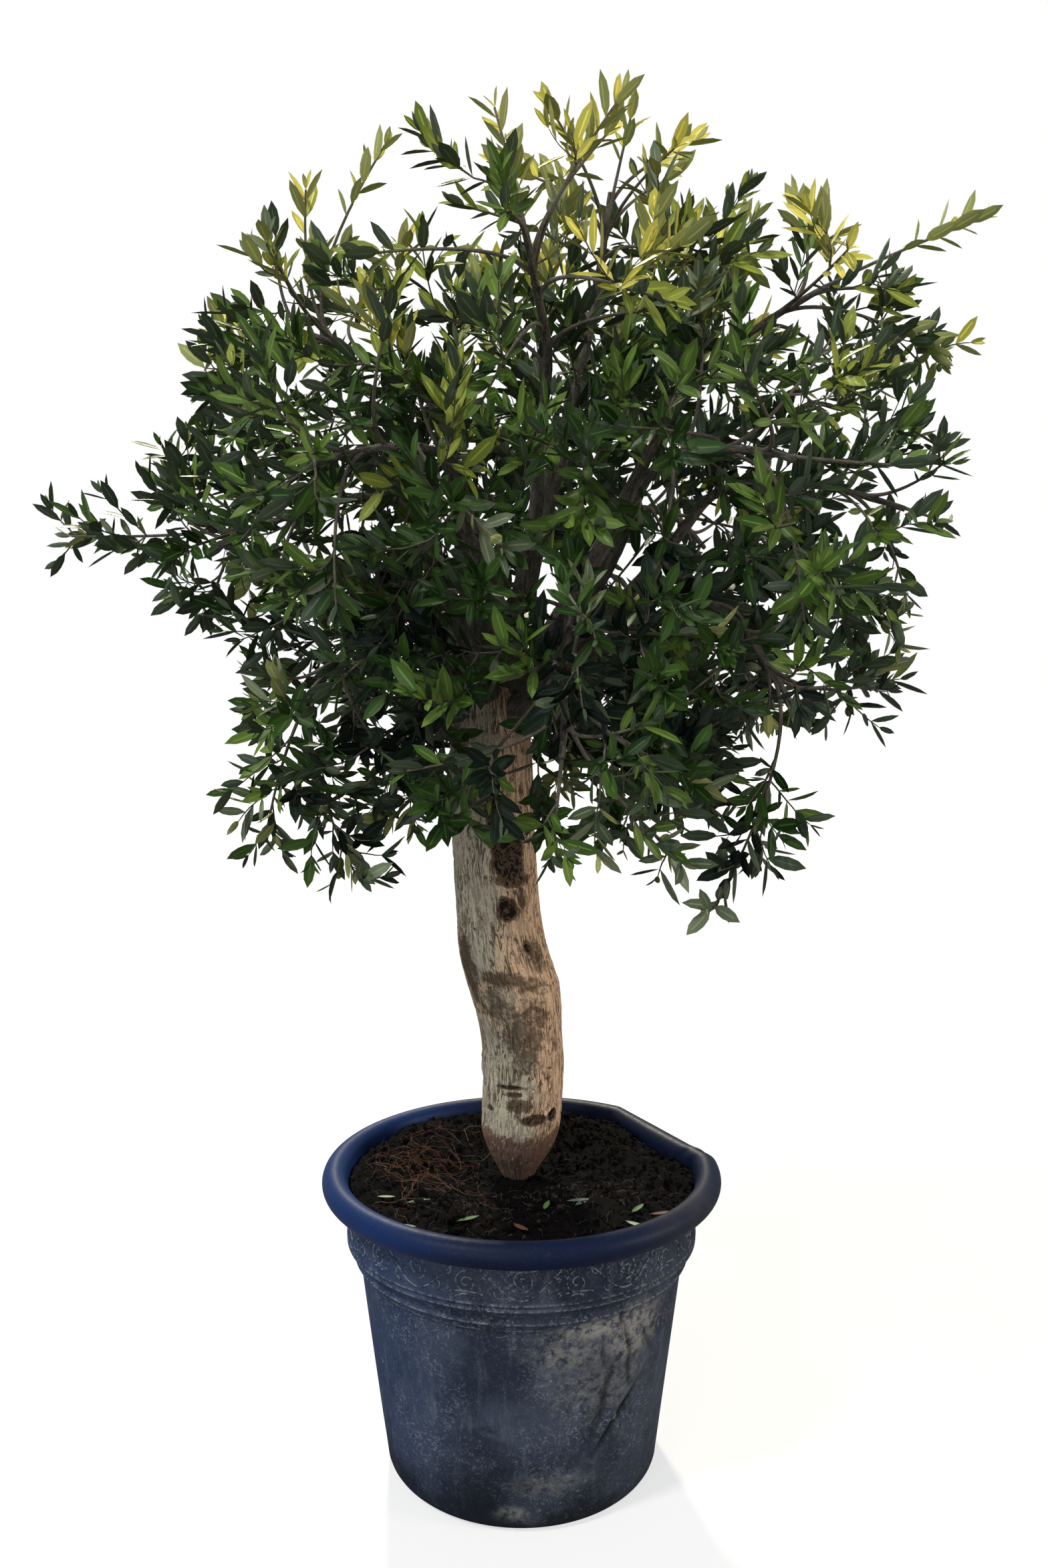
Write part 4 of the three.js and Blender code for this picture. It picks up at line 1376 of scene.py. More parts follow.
    def grow_sprigs(self, mass: Mass, line: Array, grown_by: float, lift: float) -> None:
        """Grows pairs of sprigs along a long shoot, each pair across the last."""
        length = lengths_along(line)[-1]
        turn = self.random.uniform(0, math.pi)
        for at in np.arange(0.35 * length + 0.02, length, self.sprig_step):
            share = min(at / length, 0.999)
            heading = heading_at(line, share, 0.05)
            pair = square_to(heading)
            for side in (0, math.pi):
                if self.random.random() < 0.18:
                    continue
                around = turn + side + self.random.normal(0, 0.25)
                lean = self.random.normal(0.85, 0.14)
                reach = self.random.uniform(*self.sprig_length) * (1.1 - 0.75 * share)
                leaning = heading * math.cos(lean) + round_to(pair, around) * math.sin(lean)
                sprig = self.stem(point_along(line, share), leaning, reach, lift)
                sprig = self.trimmed(mass, sprig, grown_by)
                if len(sprig) > 3:
                    self.shoots.append(Shoot(sprig, 0.0015, 0.0008, 0.15, self.tint_for(sprig[-1])))
            turn += math.pi / 2 + self.random.normal(0, 0.2)

    def grow_spurs(self, mass: Mass, sprig: Array, lift: float, tint: Tint) -> None:
        """Grows one to three short side shoots on a sprig, fewer on a short one."""
        most = 1 + int(lengths_along(sprig)[-1] / 0.045)
        for _ in range(self.random.integers(1, min(most, 3) + 1)):
            root = point_along(sprig, self.random.uniform(0.25, 0.75))
            heading = unit(sprig[4] - sprig[2])
            across = round_to(square_to(heading), self.random.uniform(0, FULL_TURN))
            length = self.random.uniform(*self.spur_length)
            spur = self.stem(root, heading * 0.72 + across * 0.70, length, lift)
            spur = self.trimmed(mass, spur, self.sprig_growth)
            if len(spur) > 3:
                self.shoots.append(Shoot(spur, 0.0011, 0.0006, 0.12, tint))

    def leaf_out(self, shoot: Shoot) -> Iterator[Leaf]:
        """A shoot's leaves: opposite pairs, each pair across the last, and a closing tuft at its tip."""
        length = lengths_along(shoot.line)[-1]
        step = self.node_step * self.random.uniform(0.85, 1.25)
        places = np.arange(shoot.bare * length + 0.006, length, step) / length
        turn = self.random.uniform(0, math.pi)
        closing = len(places)
        for number, share in enumerate(np.append(places, 1.0)):
            root = point_along(shoot.line, share)
            heading = heading_at(shoot.line, share, 0.06)
            pair = square_to(heading)
            age = 1 - (closing - number) / max(closing, 1)
            outward = unit(root - self.skeleton.middle)
            for side in (0, math.pi):
                if number < closing and self.random.random() < 0.12:
                    continue
                around = turn + side + self.random.normal(0, 0.2)
                lean = self.random.normal(0.78 - 0.34 * age, 0.14)
                if number == closing:
                    lean = self.random.uniform(0.10, 0.30)
                aside = round_to(pair, around) * math.sin(lean)
                direction = unit(heading * math.cos(lean) + aside + 0.22 * UP)
                upper = unit(heading - direction * (heading @ direction))
                face = 0.65 * upper + 0.55 * UP + 0.25 * outward + self.random.normal(0, 0.2, 3)
                face = unit(face - direction * (face @ direction))
                size = (0.78 + 0.32 * math.sin(math.pi * min(age, 0.9))) * self.random.uniform(0.78, 1.12)
                yield Leaf(root, direction, face, size * (0.62 if number == closing else 1), shoot.tint)
            turn += math.pi / 2 + self.random.normal(0, 0.15)

    @staticmethod
    def fruit_tree() -> Shaping:
        """The tree that hangs a long round fruit on every point."""
        tree = Shaping("Fruit", Length=0.016, Width=0.011, Skin="Material")
        given = tree.given
        ball = tree.add("GeometryNodeMeshUVSphere", 10, 7, 0.5).outputs[0]
        sizes = tree.joined(given["Width"], given["Width"], given["Length"])
        fruit = tree.move(ball, Position=tree.vector("MULTIPLY", tree.here(), sizes))
        hung = tree.repeat(given["Geometry"], Instance=fruit, Scale=tree.stored("size"))
        return tree.finish(tree.smooth(hung), (None, "Skin"))

    def make_leaves(self, leaves: list[Leaf]) -> list[Piece]:
        """The leaves as one piece for each green, in the greens' order."""
        roots, directions, faces, sizes = map(np.array, list(zip(*leaves))[:4])
        tips = roots + directions * (self.leaf_length * sizes)[:, None]
        kept = ((tips > BOX_LOW - self.box_margin) & (tips < BOX_HIGH + self.box_margin)).all(axis=1)
        for points in (tips, (roots + tips) / 2):
            kept &= self.skeleton.clear(points, 0.003) & ~self.before_trunk(points)
        tints = np.array([leaf.tint.name for leaf in leaves])
        underside = LeafFinish("leaf_underside", (0.045, 0.068, 0.038), (0.090, 0.120, 0.070), 0.6).make()
        # For the backlit gold sprays this pale underside is painted backlight; for silver ones it is their
        # own pale underside.
        pale = LeafFinish("leaf_underside_pale", (0.260, 0.290, 0.095), (0.420, 0.430, 0.150), 0.6).make()
        tree = leaf_tree()
        pieces = []
        for tint in Tint:
            chosen = kept & (tints == tint.name)
            count = int(chosen.sum())
            name = tint.name.lower()
            base = link_mesh(f"leaf_points_{name}", roots[chosen])
            along, face = directions[chosen], faces[chosen]
            rows = np.stack((np.cross(along, face), along, face), axis=-1)
            store(base, turn=[Matrix(row).to_quaternion() for row in rows], size=sizes[chosen], face=face)
            store(base, droop=self.random.uniform(0.001, 0.011, count), tone=self.random.uniform(0, 1, count))
            finishes = {
                "Upper": LeafFinish(f"leaf_{name}", *tint.value).make(),
                "Under": pale if tint in (Tint.BACKLIT_GOLD, Tint.SILVER) else underside,
            }
            lengths = {"Leaf_Length": self.leaf_length, "Leaf_Width": self.leaf_width}
            pieces.append(tree.grow(base, f"leaves_{name}", **lengths, **finishes))
            LOG.info("leaves_%s: %d leaves", name, count)
        return pieces

    def make_fruit(self) -> tuple[Piece, list[Shoot]]:
        """A few green olives on short stalks, and the stalks."""
        leafy = [shoot for shoot in self.shoots if shoot.foot < 0.002 and 1.0 < shoot.line[-1][2] < 1.65]
        stalks = []
        for number in self.random.choice(len(leafy), self.fruit_count, replace=False):
            root = point_along(leafy[number].line, self.random.uniform(0.2, 0.7))
            away = unit(root - self.skeleton.middle) * (1, 1, 0) * 0.008
            line = bezier(root, root + away, root + 1.6 * away - UP * self.random.uniform(0.008, 0.016), 4)
            stalks.append(Shoot(line, 0.0006, 0.0006))
        base = link_mesh("fruit_points", np.array([stalk.line[-1] - UP * 0.007 for stalk in stalks]))
        store(base, size=self.random.uniform(0.8, 1.1, self.fruit_count))
        skin = LeafFinish("olive_skin", (0.085, 0.130, 0.035), (0.130, 0.170, 0.055), 0.3)
        return self.fruit_tree().grow(base, "olives", Skin=skin.make()), stalks

    def build(self) -> None:
        """Grows the crown and hands over its stems, leaves and fruit."""
        for number, mass in enumerate(MASSES):
            self.grow_mass(mass, self.first_seed + number)
        leaves = [leaf for shoot in self.shoots for leaf in self.leaf_out(shoot)]
        LOG.info("%d shoots, %d leaves before the last trim", len(self.shoots), len(leaves))
        fruit, stalks = self.make_fruit()
        tubes = tube_tree()
        woody = EarthFinish("twig_bark", (0.115, 0.100, 0.078), (0.230, 0.200, 0.155), 320, 0.8).make()
        green = EarthFinish("young_stem", (0.100, 0.125, 0.055), (0.190, 0.200, 0.105), 320, 0.6).make()
        twigs = [shoot for shoot in self.shoots if shoot.foot > 0.0012]
        young = [shoot for shoot in self.shoots if shoot.foot <= 0.0012] + stalks
        hand_over(make_stems(tubes, "twigs", twigs, 5, woody), "bark")
        hand_over(make_stems(tubes, "young_stems", young, 4, green), "leaves")
        hand_over(fruit, "leaves")
        first, *others = self.make_leaves(leaves)
        for piece in others:
            hand_over(piece, "leaves")
        hand_over(first, "leaves", *(f"foliage_{mass.name}" for mass in MASSES))


# ---- pot and soil ----


class Crease(NamedTuple):
    """A knock in the pot's wall: both ends as turn in degrees and height, with its depth and half-width."""

    start: tuple[float, float]
    end: tuple[float, float]
    depth: float
    width: float


@dataclass
class Pot:
    """The rolled-rim pot: its wall, its floor with drain holes, and the scrolls round its collar."""

    height: float = 0.458
    rim_radius: float = 0.300
    rim_tube: float = 0.0185
    collar_radius: float = 0.262
    neck_radius: float = 0.249
    shoulder: float = 0.3135
    body_top: float = 0.2425
    body_foot: float = 0.206
    foot_radius: float = 0.186
    foot_round: float = 0.020
    wall: float = 0.004
    floor: float = 0.006
    segments: int = 430
    # The wall's outside from the shoulder up: height and radius.
    mouldings: tuple[tuple[float, float], ...] = (
        (0.3135, 0.2425), (0.3155, 0.2445), (0.3220, 0.2480), (0.3265, 0.2510), (0.3290, 0.2510),
        (0.3310, 0.2490), (0.3370, 0.2495), (0.3430, 0.2530), (0.3475, 0.2600), (0.3515, 0.2620),
        (0.4300, 0.2620),
    )  # fmt: skip
    # Height, and how far each bead stands out or, below 0, is cut in.
    beads: tuple[tuple[float, float], ...] = (
        (0.3160, 0.0008), (0.3275, 0.0010), (0.3515, 0.0014), (0.3555, -0.0010), (0.3600, 0.0017),
    )  # fmt: skip
    bead_width: float = 0.0017
    frieze: tuple[float, float] = (0.3675, 0.4160)
    repeats: int = 11
    holes: int = 6
    hole_ring: float = 0.120
    hole_radius: float = 0.010
    dent_turn: float = math.radians(29)
    dent_chord: float = 0.259
    dent_ring: float = 0.288
    dent_edge: float = math.radians(8)
    creases: tuple[Crease, ...] = tuple(Crease(*row) for row in (
        ((-57.4, 0.330), (-52.0, 0.274), 0.0034, 0.0035), ((-52.0, 0.274), (-50.6, 0.258), 0.0046, 0.0040),
        ((-50.6, 0.258), (-49.5, 0.198), 0.0020, 0.0045), ((-44.7, 0.200), (-63.3, 0.107), 0.0030, 0.0060),
        ((-57.9, 0.246), (-62.5, 0.138), 0.0018, 0.0080), ((-62.8, 0.298), (-61.0, 0.240), 0.0014, 0.0040),
        ((-46.0, 0.290), (-38.0, 0.235), 0.0018, 0.0060), ((-104.3, 0.161), (-97.6, 0.153), 0.0012, 0.0030),
        ((-119.9, 0.228), (-120.8, 0.186), 0.0010, 0.0022), ((60.0, 0.250), (72.0, 0.120), 0.0018, 0.0060),
        ((150.0, 0.210), (141.0, 0.100), 0.0014, 0.0070), ((110.0, 0.270), (108.0, 0.180), 0.0012, 0.0040),
    ))  # fmt: skip
    # Turn in degrees, height, half-width in degrees, half-height and strength.
    dust_patches: tuple[tuple[float, float, float, float, float], ...] = (
        (-60, 0.306, 26, 0.020, 0.85), (-50, 0.285, 14, 0.050, 0.80), (-72, 0.275, 18, 0.035, 0.45),
        (-60, 0.220, 24, 0.060, 0.30), (-94, 0.030, 8, 0.014, 0.95), (-80, 0.075, 18, 0.022, 0.30),
        (80, 0.300, 30, 0.040, 0.55), (160, 0.080, 18, 0.030, 0.50),
    )  # fmt: skip

    def profile(self) -> Array:
        """The wall's closed section, anticlockwise from the inside of the foot: radius and height."""
        inner_foot = self.foot_radius - 0.012
        under_rim = self.height - 2 * self.rim_tube
        points = [(inner_foot, 0.0)]
        for turn in np.radians(np.linspace(-90, 0, 8)):
            radius = self.body_foot - self.foot_round * (1 - math.cos(turn))
            points.append((radius, self.foot_round * (1 + math.sin(turn))))
        heights = np.linspace(self.foot_round, self.shoulder, 80)[1:]
        share = (heights - self.foot_round) / (self.shoulder - self.foot_round)
        points += zip(self.body_foot + (self.body_top - self.body_foot) * share, heights)
        upper = np.linspace(self.shoulder, under_rim, 90)[1:]
        outer = np.interp(upper, *zip(*self.mouldings))
        for middle, out in self.beads:
            outer += out * bell((upper - middle) / self.bead_width)
        points += zip(outer, upper)
        for turn in np.radians(np.linspace(-130, 165, 40)):
            radius = self.rim_radius - self.rim_tube * (1 - math.cos(turn))
            points.append((radius, self.height - self.rim_tube * (1 - math.sin(turn))))
        points += [(self.collar_radius - self.wall, under_rim), *self.inside(), (inner_foot, self.floor)]
        return np.array(points)

    def inside(self) -> list[tuple[float, float]]:
        """The inner wall's bends from the collar down to the floor: radius and height."""
        outside = (
            (self.collar_radius, 0.360), (self.neck_radius, 0.343), (self.neck_radius, 0.329),
            (self.body_top, self.shoulder), (self.body_foot, self.foot_round), (self.foot_radius, self.floor),
        )  # fmt: skip
        return [(radius - self.wall, height) for radius, height in outside]

    @staticmethod
    def beside(crease: Crease, points: Array) -> tuple[Array, Array]:
        """How far each point is from a crease, and how deep the crease runs beside it, from 0 to 1."""
        mean_radius = 0.23
        (turn_a, height_a), (turn_b, height_b) = crease.start, crease.end
        across = np.angle(np.exp(1j * (turned_about(points) - math.radians(turn_a)))) * mean_radius
        up = points[:, 2] - height_a
        span = np.array((math.radians(turn_b - turn_a) * mean_radius, height_b - height_a))
        share = np.clip((across * span[0] + up * span[1]) / (span @ span), 0, 1)
        away = np.hypot(across - share * span[0], up - share * span[1])
        return away, 0.35 + 0.65 * np.sin(math.pi * np.clip(share, 0.05, 0.95))

    def scored(self, points: Array) -> Array:
        """How much painted shade a crease lays on the wall at each point, from 0 to 1."""
        dark = np.zeros(len(points))
        for crease in self.creases:
            away, deep = self.beside(crease, points)
            dark = np.maximum(dark, deep * bell(away / (0.7 * crease.width)) * crease.depth / 0.0022)
        return np.clip(dark, 0, 1)

    def worn(self, points: Array) -> Array:
        """How far the wall's raised beads are paled at each point, partly as wear and partly as a painted
        highlight, from 0 to 1.
        """
        pale = np.zeros(len(points))
        for middle, out in self.beads:
            pale = np.maximum(pale, (out > 0) * bell((points[:, 2] - middle) / (0.7 * self.bead_width)))
        return 0.5 * pale * (np.hypot(points[:, 0], points[:, 1]) > self.body_top)

    def dust(self, points: Array) -> Array:
        """How dusty the wall is at each point, from 0 to 1."""
        turn = np.degrees(turned_about(points))
        dust = np.zeros(len(points))
        for centre, height, wide, tall, strength in self.dust_patches:
            across = (turn - centre + 180) % 360 - 180
            away = np.hypot(across / wide, (points[:, 2] - height) / tall)
            dust = np.maximum(dust, strength * smoothstep(away, 1.25, 0.2))
        return dust * smoothstep(points[:, 2], 0.35, 0.33)

    def press(self, points: Array) -> Array:
        """The points, moved in where the pot has been knocked."""
        turn = turned_about(points)
        radius = np.hypot(points[:, 0], points[:, 1])
        height = points[:, 2]
        chord = self.dent_chord / np.cos(np.clip(turn - self.dent_turn, -0.6, 0.6))
        flat = np.maximum(0, self.dent_ring - chord) * smoothstep(turn, math.radians(2), self.dent_edge)
        pinch = -0.004 * bell((turn - self.dent_edge - 0.02) / 0.035) * smoothstep(height, 0.43, 0.458)
        depth = (flat + pinch) * smoothstep(height, 0.334, 0.438)
        on_wall = smoothstep(radius, 0.17, 0.19)
        wave = 0.0012 * np.sin(3 * turn + 0.7) * np.sin(7 * height) * on_wall
        depth += wave * smoothstep(height, 0.02, 0.08)
        for crease in self.creases:
            away, deep = self.beside(crease, points)
            dip = bell(away / crease.width) - 0.4 * bell((away - 2.1 * crease.width) / crease.width)
            depth += 1.5 * crease.depth * dip * deep * on_wall
        factor = 1 - depth / np.maximum(radius, 1e-6)
        return np.column_stack((points[:, 0] * factor, points[:, 1] * factor, height))

    @staticmethod
    def scroll_tree() -> Shaping:
        """The tree that repeats a flat scroll round the collar as raised lines."""
        tree = Shaping("Running Scroll", Repeats=11, Radius=0.26, Line_Width=0.0014, Plastic="Material")
        given = tree.given
        pitch = tree.math("DIVIDE", tree.times(given["Radius"], FULL_TURN), given["Repeats"])
        row = tree.add("GeometryNodeMeshLine", given["Repeats"], None, tree.joined(pitch, 0.0, 0.0))
        whole = tree.whole(tree.repeat(row, Instance=given["Geometry"]))
        flat = tree.split(tree.here())
        turn = tree.math("DIVIDE", flat[0], given["Radius"])
        out = tree.minus(given["Radius"], flat[1])
        back = tree.times(out, tree.math("COSINE", turn), -1.0)
        bent = tree.joined(tree.times(out, tree.math("SINE", turn)), back, flat[2])
        wrapped = tree.move(tree.tubes(whole, 6, given["Line Width"]), Position=bent)
        return tree.finish(tree.smooth(wrapped), (None, "Plastic"))

    def scroll_motif(self) -> Piece:
        """One flat repeat of the scroll in the XZ plane: a running wave, two curls, and small leaves."""
        pitch = FULL_TURN * self.collar_radius / self.repeats
        low, high = self.frieze
        middle, swing = (low + high) / 2, (high - low) / 2
        share = np.linspace(0, 1, 33)
        lines = [(share * pitch, middle - swing * np.cos(FULL_TURN * share))]
        for side, centre in ((1, 0.5), (-1, 1.0)):
            turn = np.linspace(0, 3.2 * math.pi, 34)
            radius = 0.68 * swing * (1 - turn / (3.8 * math.pi))
            start = side * math.pi / 2
            curl_z = middle - side * 0.14 * swing + radius * np.sin(start + turn)
            lines.append((centre * pitch + radius * np.cos(start + turn), curl_z))
            bow = np.linspace(-0.9, 0.9, 11)
            bow_z = middle - side * (0.95 - 0.30 * np.cos(bow)) * swing
            lines.append((centre * pitch + 0.20 * pitch * np.sin(bow), bow_z))
            lines.append((centre * pitch + 0.012 * np.sin(bow), bow_z - side * 0.14 * swing))
            for lean in (-0.55, 0.55):
                leaf = np.linspace(0, math.pi, 8)
                leaf_x = (centre - 0.25) * pitch + 0.008 * np.sin(leaf) * side + lean * 0.016
                lines.append((leaf_x, middle + side * lean * swing + 0.009 * np.cos(leaf)))
        return line_mesh("scroll_motif", [np.column_stack((x, 0 * x, z)) for x, z in lines])

    def make_floor(self, plastic: Material) -> Piece:
        """The floor of the pot, with its ring of drain holes."""
        columns, sides, ends = 12 * self.holes, 16, (-0.02, 0.03)
        rings = (0.040, 0.080, 0.105, 0.120, 0.135, 0.155, self.foot_radius - 0.011)
        flat = np.vstack([np.zeros((1, 3)), *(polar(radius, circle(columns), 0) for radius in rings)])
        faces = [[0, 1 + side, 1 + (side + 1) % columns] for side in range(columns)]
        faces += [[1 + a, 1 + d, 1 + c, 1 + b] for a, b, c, d in quads(len(rings), columns)]
        plate = link_mesh("pot_floor", flat, faces)
        thick = plate.modifiers.new("thickness", "SOLIDIFY")
        thick.thickness, thick.offset = self.floor, 1
        drill = [polar(self.hole_radius, circle(sides), end) for end in ends] + [(0, 0, end) for end in ends]
        drills = [np.vstack(drill) + polar(self.hole_ring, around, 0) for around in circle(self.holes)]
        starts = [number * len(drills[0]) for number in range(self.holes)]
        faces = [face for start in starts for face in tube_faces(len(ends), sides, start)]
        cutter = link_mesh("drain_cutter", np.vstack(drills), faces)
        drain = plate.modifiers.new("drain", "BOOLEAN")
        drain.operation, drain.object, drain.solver = "DIFFERENCE", cutter, "EXACT"
        mesh = settled(plate)
        plate.modifiers.clear()
        plate.data = mesh
        bpy.data.objects.remove(cutter)
        mesh.materials.clear()
        mesh.materials.append(plastic)
        return plate

    def build(self) -> None:
        """Builds and hands over the wall, the floor and the scrolls."""
        plastic = PlasticFinish("pot_plastic").make()
        profile = self.profile()
        places = polar(profile[:, :1], circle(self.segments), profile[:, 1:]).reshape(-1, 3)
        faces = quads(len(profile), self.segments, closed=True)
        wall = link_mesh("pot_wall", self.press(places), faces, finish=plastic)
        # Where a painted warm reflection lies on the rim's front right.
        rubbed = bell((np.degrees(turned_about(places)) + 36) / 15)
        store(wall, dust=self.dust(places), worn=self.worn(places), scored=self.scored(places), rubbed=rubbed)
        hand_over(wall, "pot", "pot")
        hand_over(self.make_floor(plastic), "pot")
        sizes = {"Repeats": self.repeats, "Radius": self.collar_radius, "Line_Width": 0.0013}
        scrolls = self.scroll_tree().grow(self.scroll_motif(), "collar_scrolls", **sizes, Plastic=plastic)
        flat = np.empty(len(scrolls.data.vertices) * 3, dtype=np.float32)
        scrolls.data.vertices.foreach_get("co", flat)
        pressed = self.press(flat.reshape(-1, 3).astype(float))
        scrolls.data.vertices.foreach_set("co", pressed.astype(np.float32).ravel())
        # The scroll lines are paled, partly as wear and partly as a painted highlight.
        store(scrolls, worn=np.full(len(pressed), 0.5))
        hand_over(scrolls, "pot")


@dataclass
class Soil:
    """The potting compost: its mounded surface, crumbs, rootlets and fallen leaves."""

    pot: Pot
    level: float = 0.413
    rim: float = 0.436
    back: float = 0.008
    ripple: float = 0.004
    ripple_length: float = 0.034
    clearing: float = 0.084
    mound_ring: float = 0.205
    trunk_foot: tuple[float, float] = (0.006, 0.048)
    gap: float = 0.0006
    rings: int = 84
    segments: int = 300
    litter_ring: float = 0.245
    trunk_room: float = 0.065

    def __post_init__(self) -> None:
        """Prepares the litter's number source."""
        self.random = np.random.default_rng(23)

    def height_at(self, x: Array, y: Array) -> Array:
        """The height of the surface: level round the trunk, mounded to the wall, lumpy all over."""
        from_trunk = np.hypot(x - self.trunk_foot[0], y - self.trunk_foot[1])
        edge = smoothstep(from_trunk, self.clearing, self.mound_ring)
        ripple = self.ripple * np.sin(x / self.ripple_length + 1) * np.cos(y / self.ripple_length)
        lumps = 0.0030 * np.sin(71 * x + 3 * np.sin(43 * y)) * np.cos(63 * y + 2 * np.sin(57 * x))
        lumps += 0.0016 * np.sin(171 * x + 5 * np.sin(97 * y)) * np.sin(153 * y + 4 * np.sin(121 * x))
        height = self.level + edge * (self.rim - self.level + self.back * y / self.pot.collar_radius + ripple)
        return height + lumps

    @staticmethod
    def crumb_tree() -> Shaping:
        """The tree that strews irregular crumbs over a surface."""
        sizes = {"Density": 9000.0, "Smallest": 0.0010, "Largest": 0.0042, "Seed": 3, "Subdivisions": 1}
        tree = Shaping("Compost Crumbs", **sizes, Earth="Material")
        given = tree.given
        ground = (given["Geometry"], None, given["Density"], given["Seed"])
        strewn = tree.add("GeometryNodeDistributePointsOnFaces", *ground)
        ball = tree.add("GeometryNodeMeshIcoSphere", 1.0, given["Subdivisions"])
        ranges = (((0, 0, 0), (6.283, 6.283, 6.283)), ((0.7, 0.45, 0.35), (1.7, 0.9, 0.8)))
        draw = "FunctionNodeRandomValue"
        turn, stretch = (tree.add(draw, *ends, data_type="FLOAT_VECTOR") for ends in ranges)
        size = tree.add(draw, given["Smallest"], given["Largest"], data_type="FLOAT")
        scale = tree.vector("SCALE", stretch, size)
        whole = tree.whole(tree.repeat(strewn, Instance=ball, Rotation=turn, Scale=scale))
        jagged = tree.add("ShaderNodeTexNoise", tree.here(), 260).outputs[1]
        centred = tree.vector("SUBTRACT", jagged, (0.5, 0.5, 0.5))
        return tree.finish(tree.move(whole, Offset=tree.vector("SCALE", centred, 0.0045)), (None, "Earth"))

    def surface(self, name: str) -> Piece:
        """The top of the compost as an open disc."""
        brim = self.pot.collar_radius - self.pot.wall - self.gap
        radii = np.linspace(0, brim, self.rings + 1)[1:]
        x, y, _ = polar(radii[:, None], circle(self.segments), 0).reshape(-1, 3).T
        flat = np.column_stack((x, y, self.height_at(x, y)))
        faces = [[len(flat), side, (side + 1) % self.segments] for side in range(self.segments)]
        faces += [face[::-1] for face in quads(self.rings, self.segments)]
        return link_mesh(name, self.pot.press(np.vstack((flat, (0, 0, self.height_at(0, 0))))), faces)

    def make_body(self, earth: Material) -> Piece:
        """The compost, closed down the wall and across the floor."""
        disc = self.surface("compost")
        top = [tuple(vertex.co) for vertex in disc.data.vertices]
        faces = [list(face.vertices) for face in disc.data.polygons]
        bpy.data.objects.remove(disc)
        above = (self.rings - 1) * self.segments
        sides = [(side, (side + 1) % self.segments) for side in range(self.segments)]
        for radius, height in self.pot.inside():
            first = len(top)
            ring = polar(radius - self.gap, circle(self.segments), height + self.gap)
            top += map(tuple, self.pot.press(ring))
            faces += [[above + here, above + beside, first + beside, first + here] for here, beside in sides]
            above = first
        faces.append([above + side for side in reversed(range(self.segments))])
        return link_mesh("compost_body", np.array(top), faces, finish=earth)

    def threads(self, count: int, centre: tuple, spread: tuple, lengths: tuple, radius: float) -> list[Shoot]:
        """Rootlets that wander over the surface.

        Args:
            count: how many.
            centre: the middle of their patch.
            spread: how far they scatter from it.
            lengths: the shortest and the longest.
            radius: their greatest radius.

        Returns:
            Their lines.
        """
        threads, steps = [], 9
        while len(threads) < count:
            start = self.random.normal(centre, spread)
            turn = self.random.uniform(0, FULL_TURN)
            length = self.random.uniform(*lengths)
            turns = turn + np.cumsum(self.random.normal(0, 0.38, steps))
            flat = start + np.cumsum(np.column_stack((np.cos(turns), np.sin(turns))) * length / steps, axis=0)
            out, from_trunk = (np.hypot(*(flat - middle).T) for middle in ((0, 0), self.trunk_foot))
            if out.max() > self.litter_ring or from_trunk.min() < self.trunk_room:
                continue
            height = self.height_at(*flat.T) + 0.002 + 0.003 * self.random.random(steps)
            height[[0, -1]] -= 0.003
            thick = radius * self.random.uniform(0.45, 1)
            threads.append(Shoot(np.column_stack((flat, height)), thick, thick * 0.5))
        return threads

    def make_fallen(self) -> Iterator[Piece]:
        """The fallen leaves by kind: the two colours of each, and the place and turn of every leaf."""
        green = ((-0.166, -0.104, 22), (-0.089, -0.170, 32), (0.032, -0.117, 75), (0.155, -0.148, 55))
        pale = ((-0.210, -0.089, 0), (-0.145, -0.180, 178), (0.145, -0.166, -40))
        grey = ((0.065, -0.092, 10), (0.077, -0.109, 50))
        brown = ((-0.011, -0.182, -55), (0.180, -0.148, 10))
        kinds = (
            ("fallen_green", (0.040, 0.095, 0.022), (0.080, 0.160, 0.045), green),
            ("fallen_pale", (0.180, 0.225, 0.140), (0.300, 0.340, 0.250), pale),
            ("fallen_grey", (0.060, 0.095, 0.070), (0.100, 0.140, 0.105), grey),
            ("fallen_brown", (0.075, 0.030, 0.018), (0.13, 0.055, 0.032), brown),
        )
        tree = leaf_tree()
        for name, dark, light, places in kinds:
            x, y, turns = np.array(places).T
            count = len(places)
            base = link_mesh(f"{name}_points", np.column_stack((x, y, self.height_at(x, y) + 0.0055)))
            turned = [Matrix.Rotation(turn, 3, "Z").to_quaternion() for turn in np.radians(turns - 90)]
            sizes = self.random.uniform(0.40, 0.60, count)
            droop = self.random.uniform(-0.004, 0.002, count)
            tone = self.random.uniform(0, 1, count)
            store(base, turn=turned, size=sizes, face=np.tile(UP, (count, 1)), droop=droop, tone=tone)
            finish = LeafFinish(name, dark, light, 0.6).make()
            yield tree.grow(base, name, Leaf_Length=0.062, Leaf_Width=0.017, Upper=finish, Under=finish)

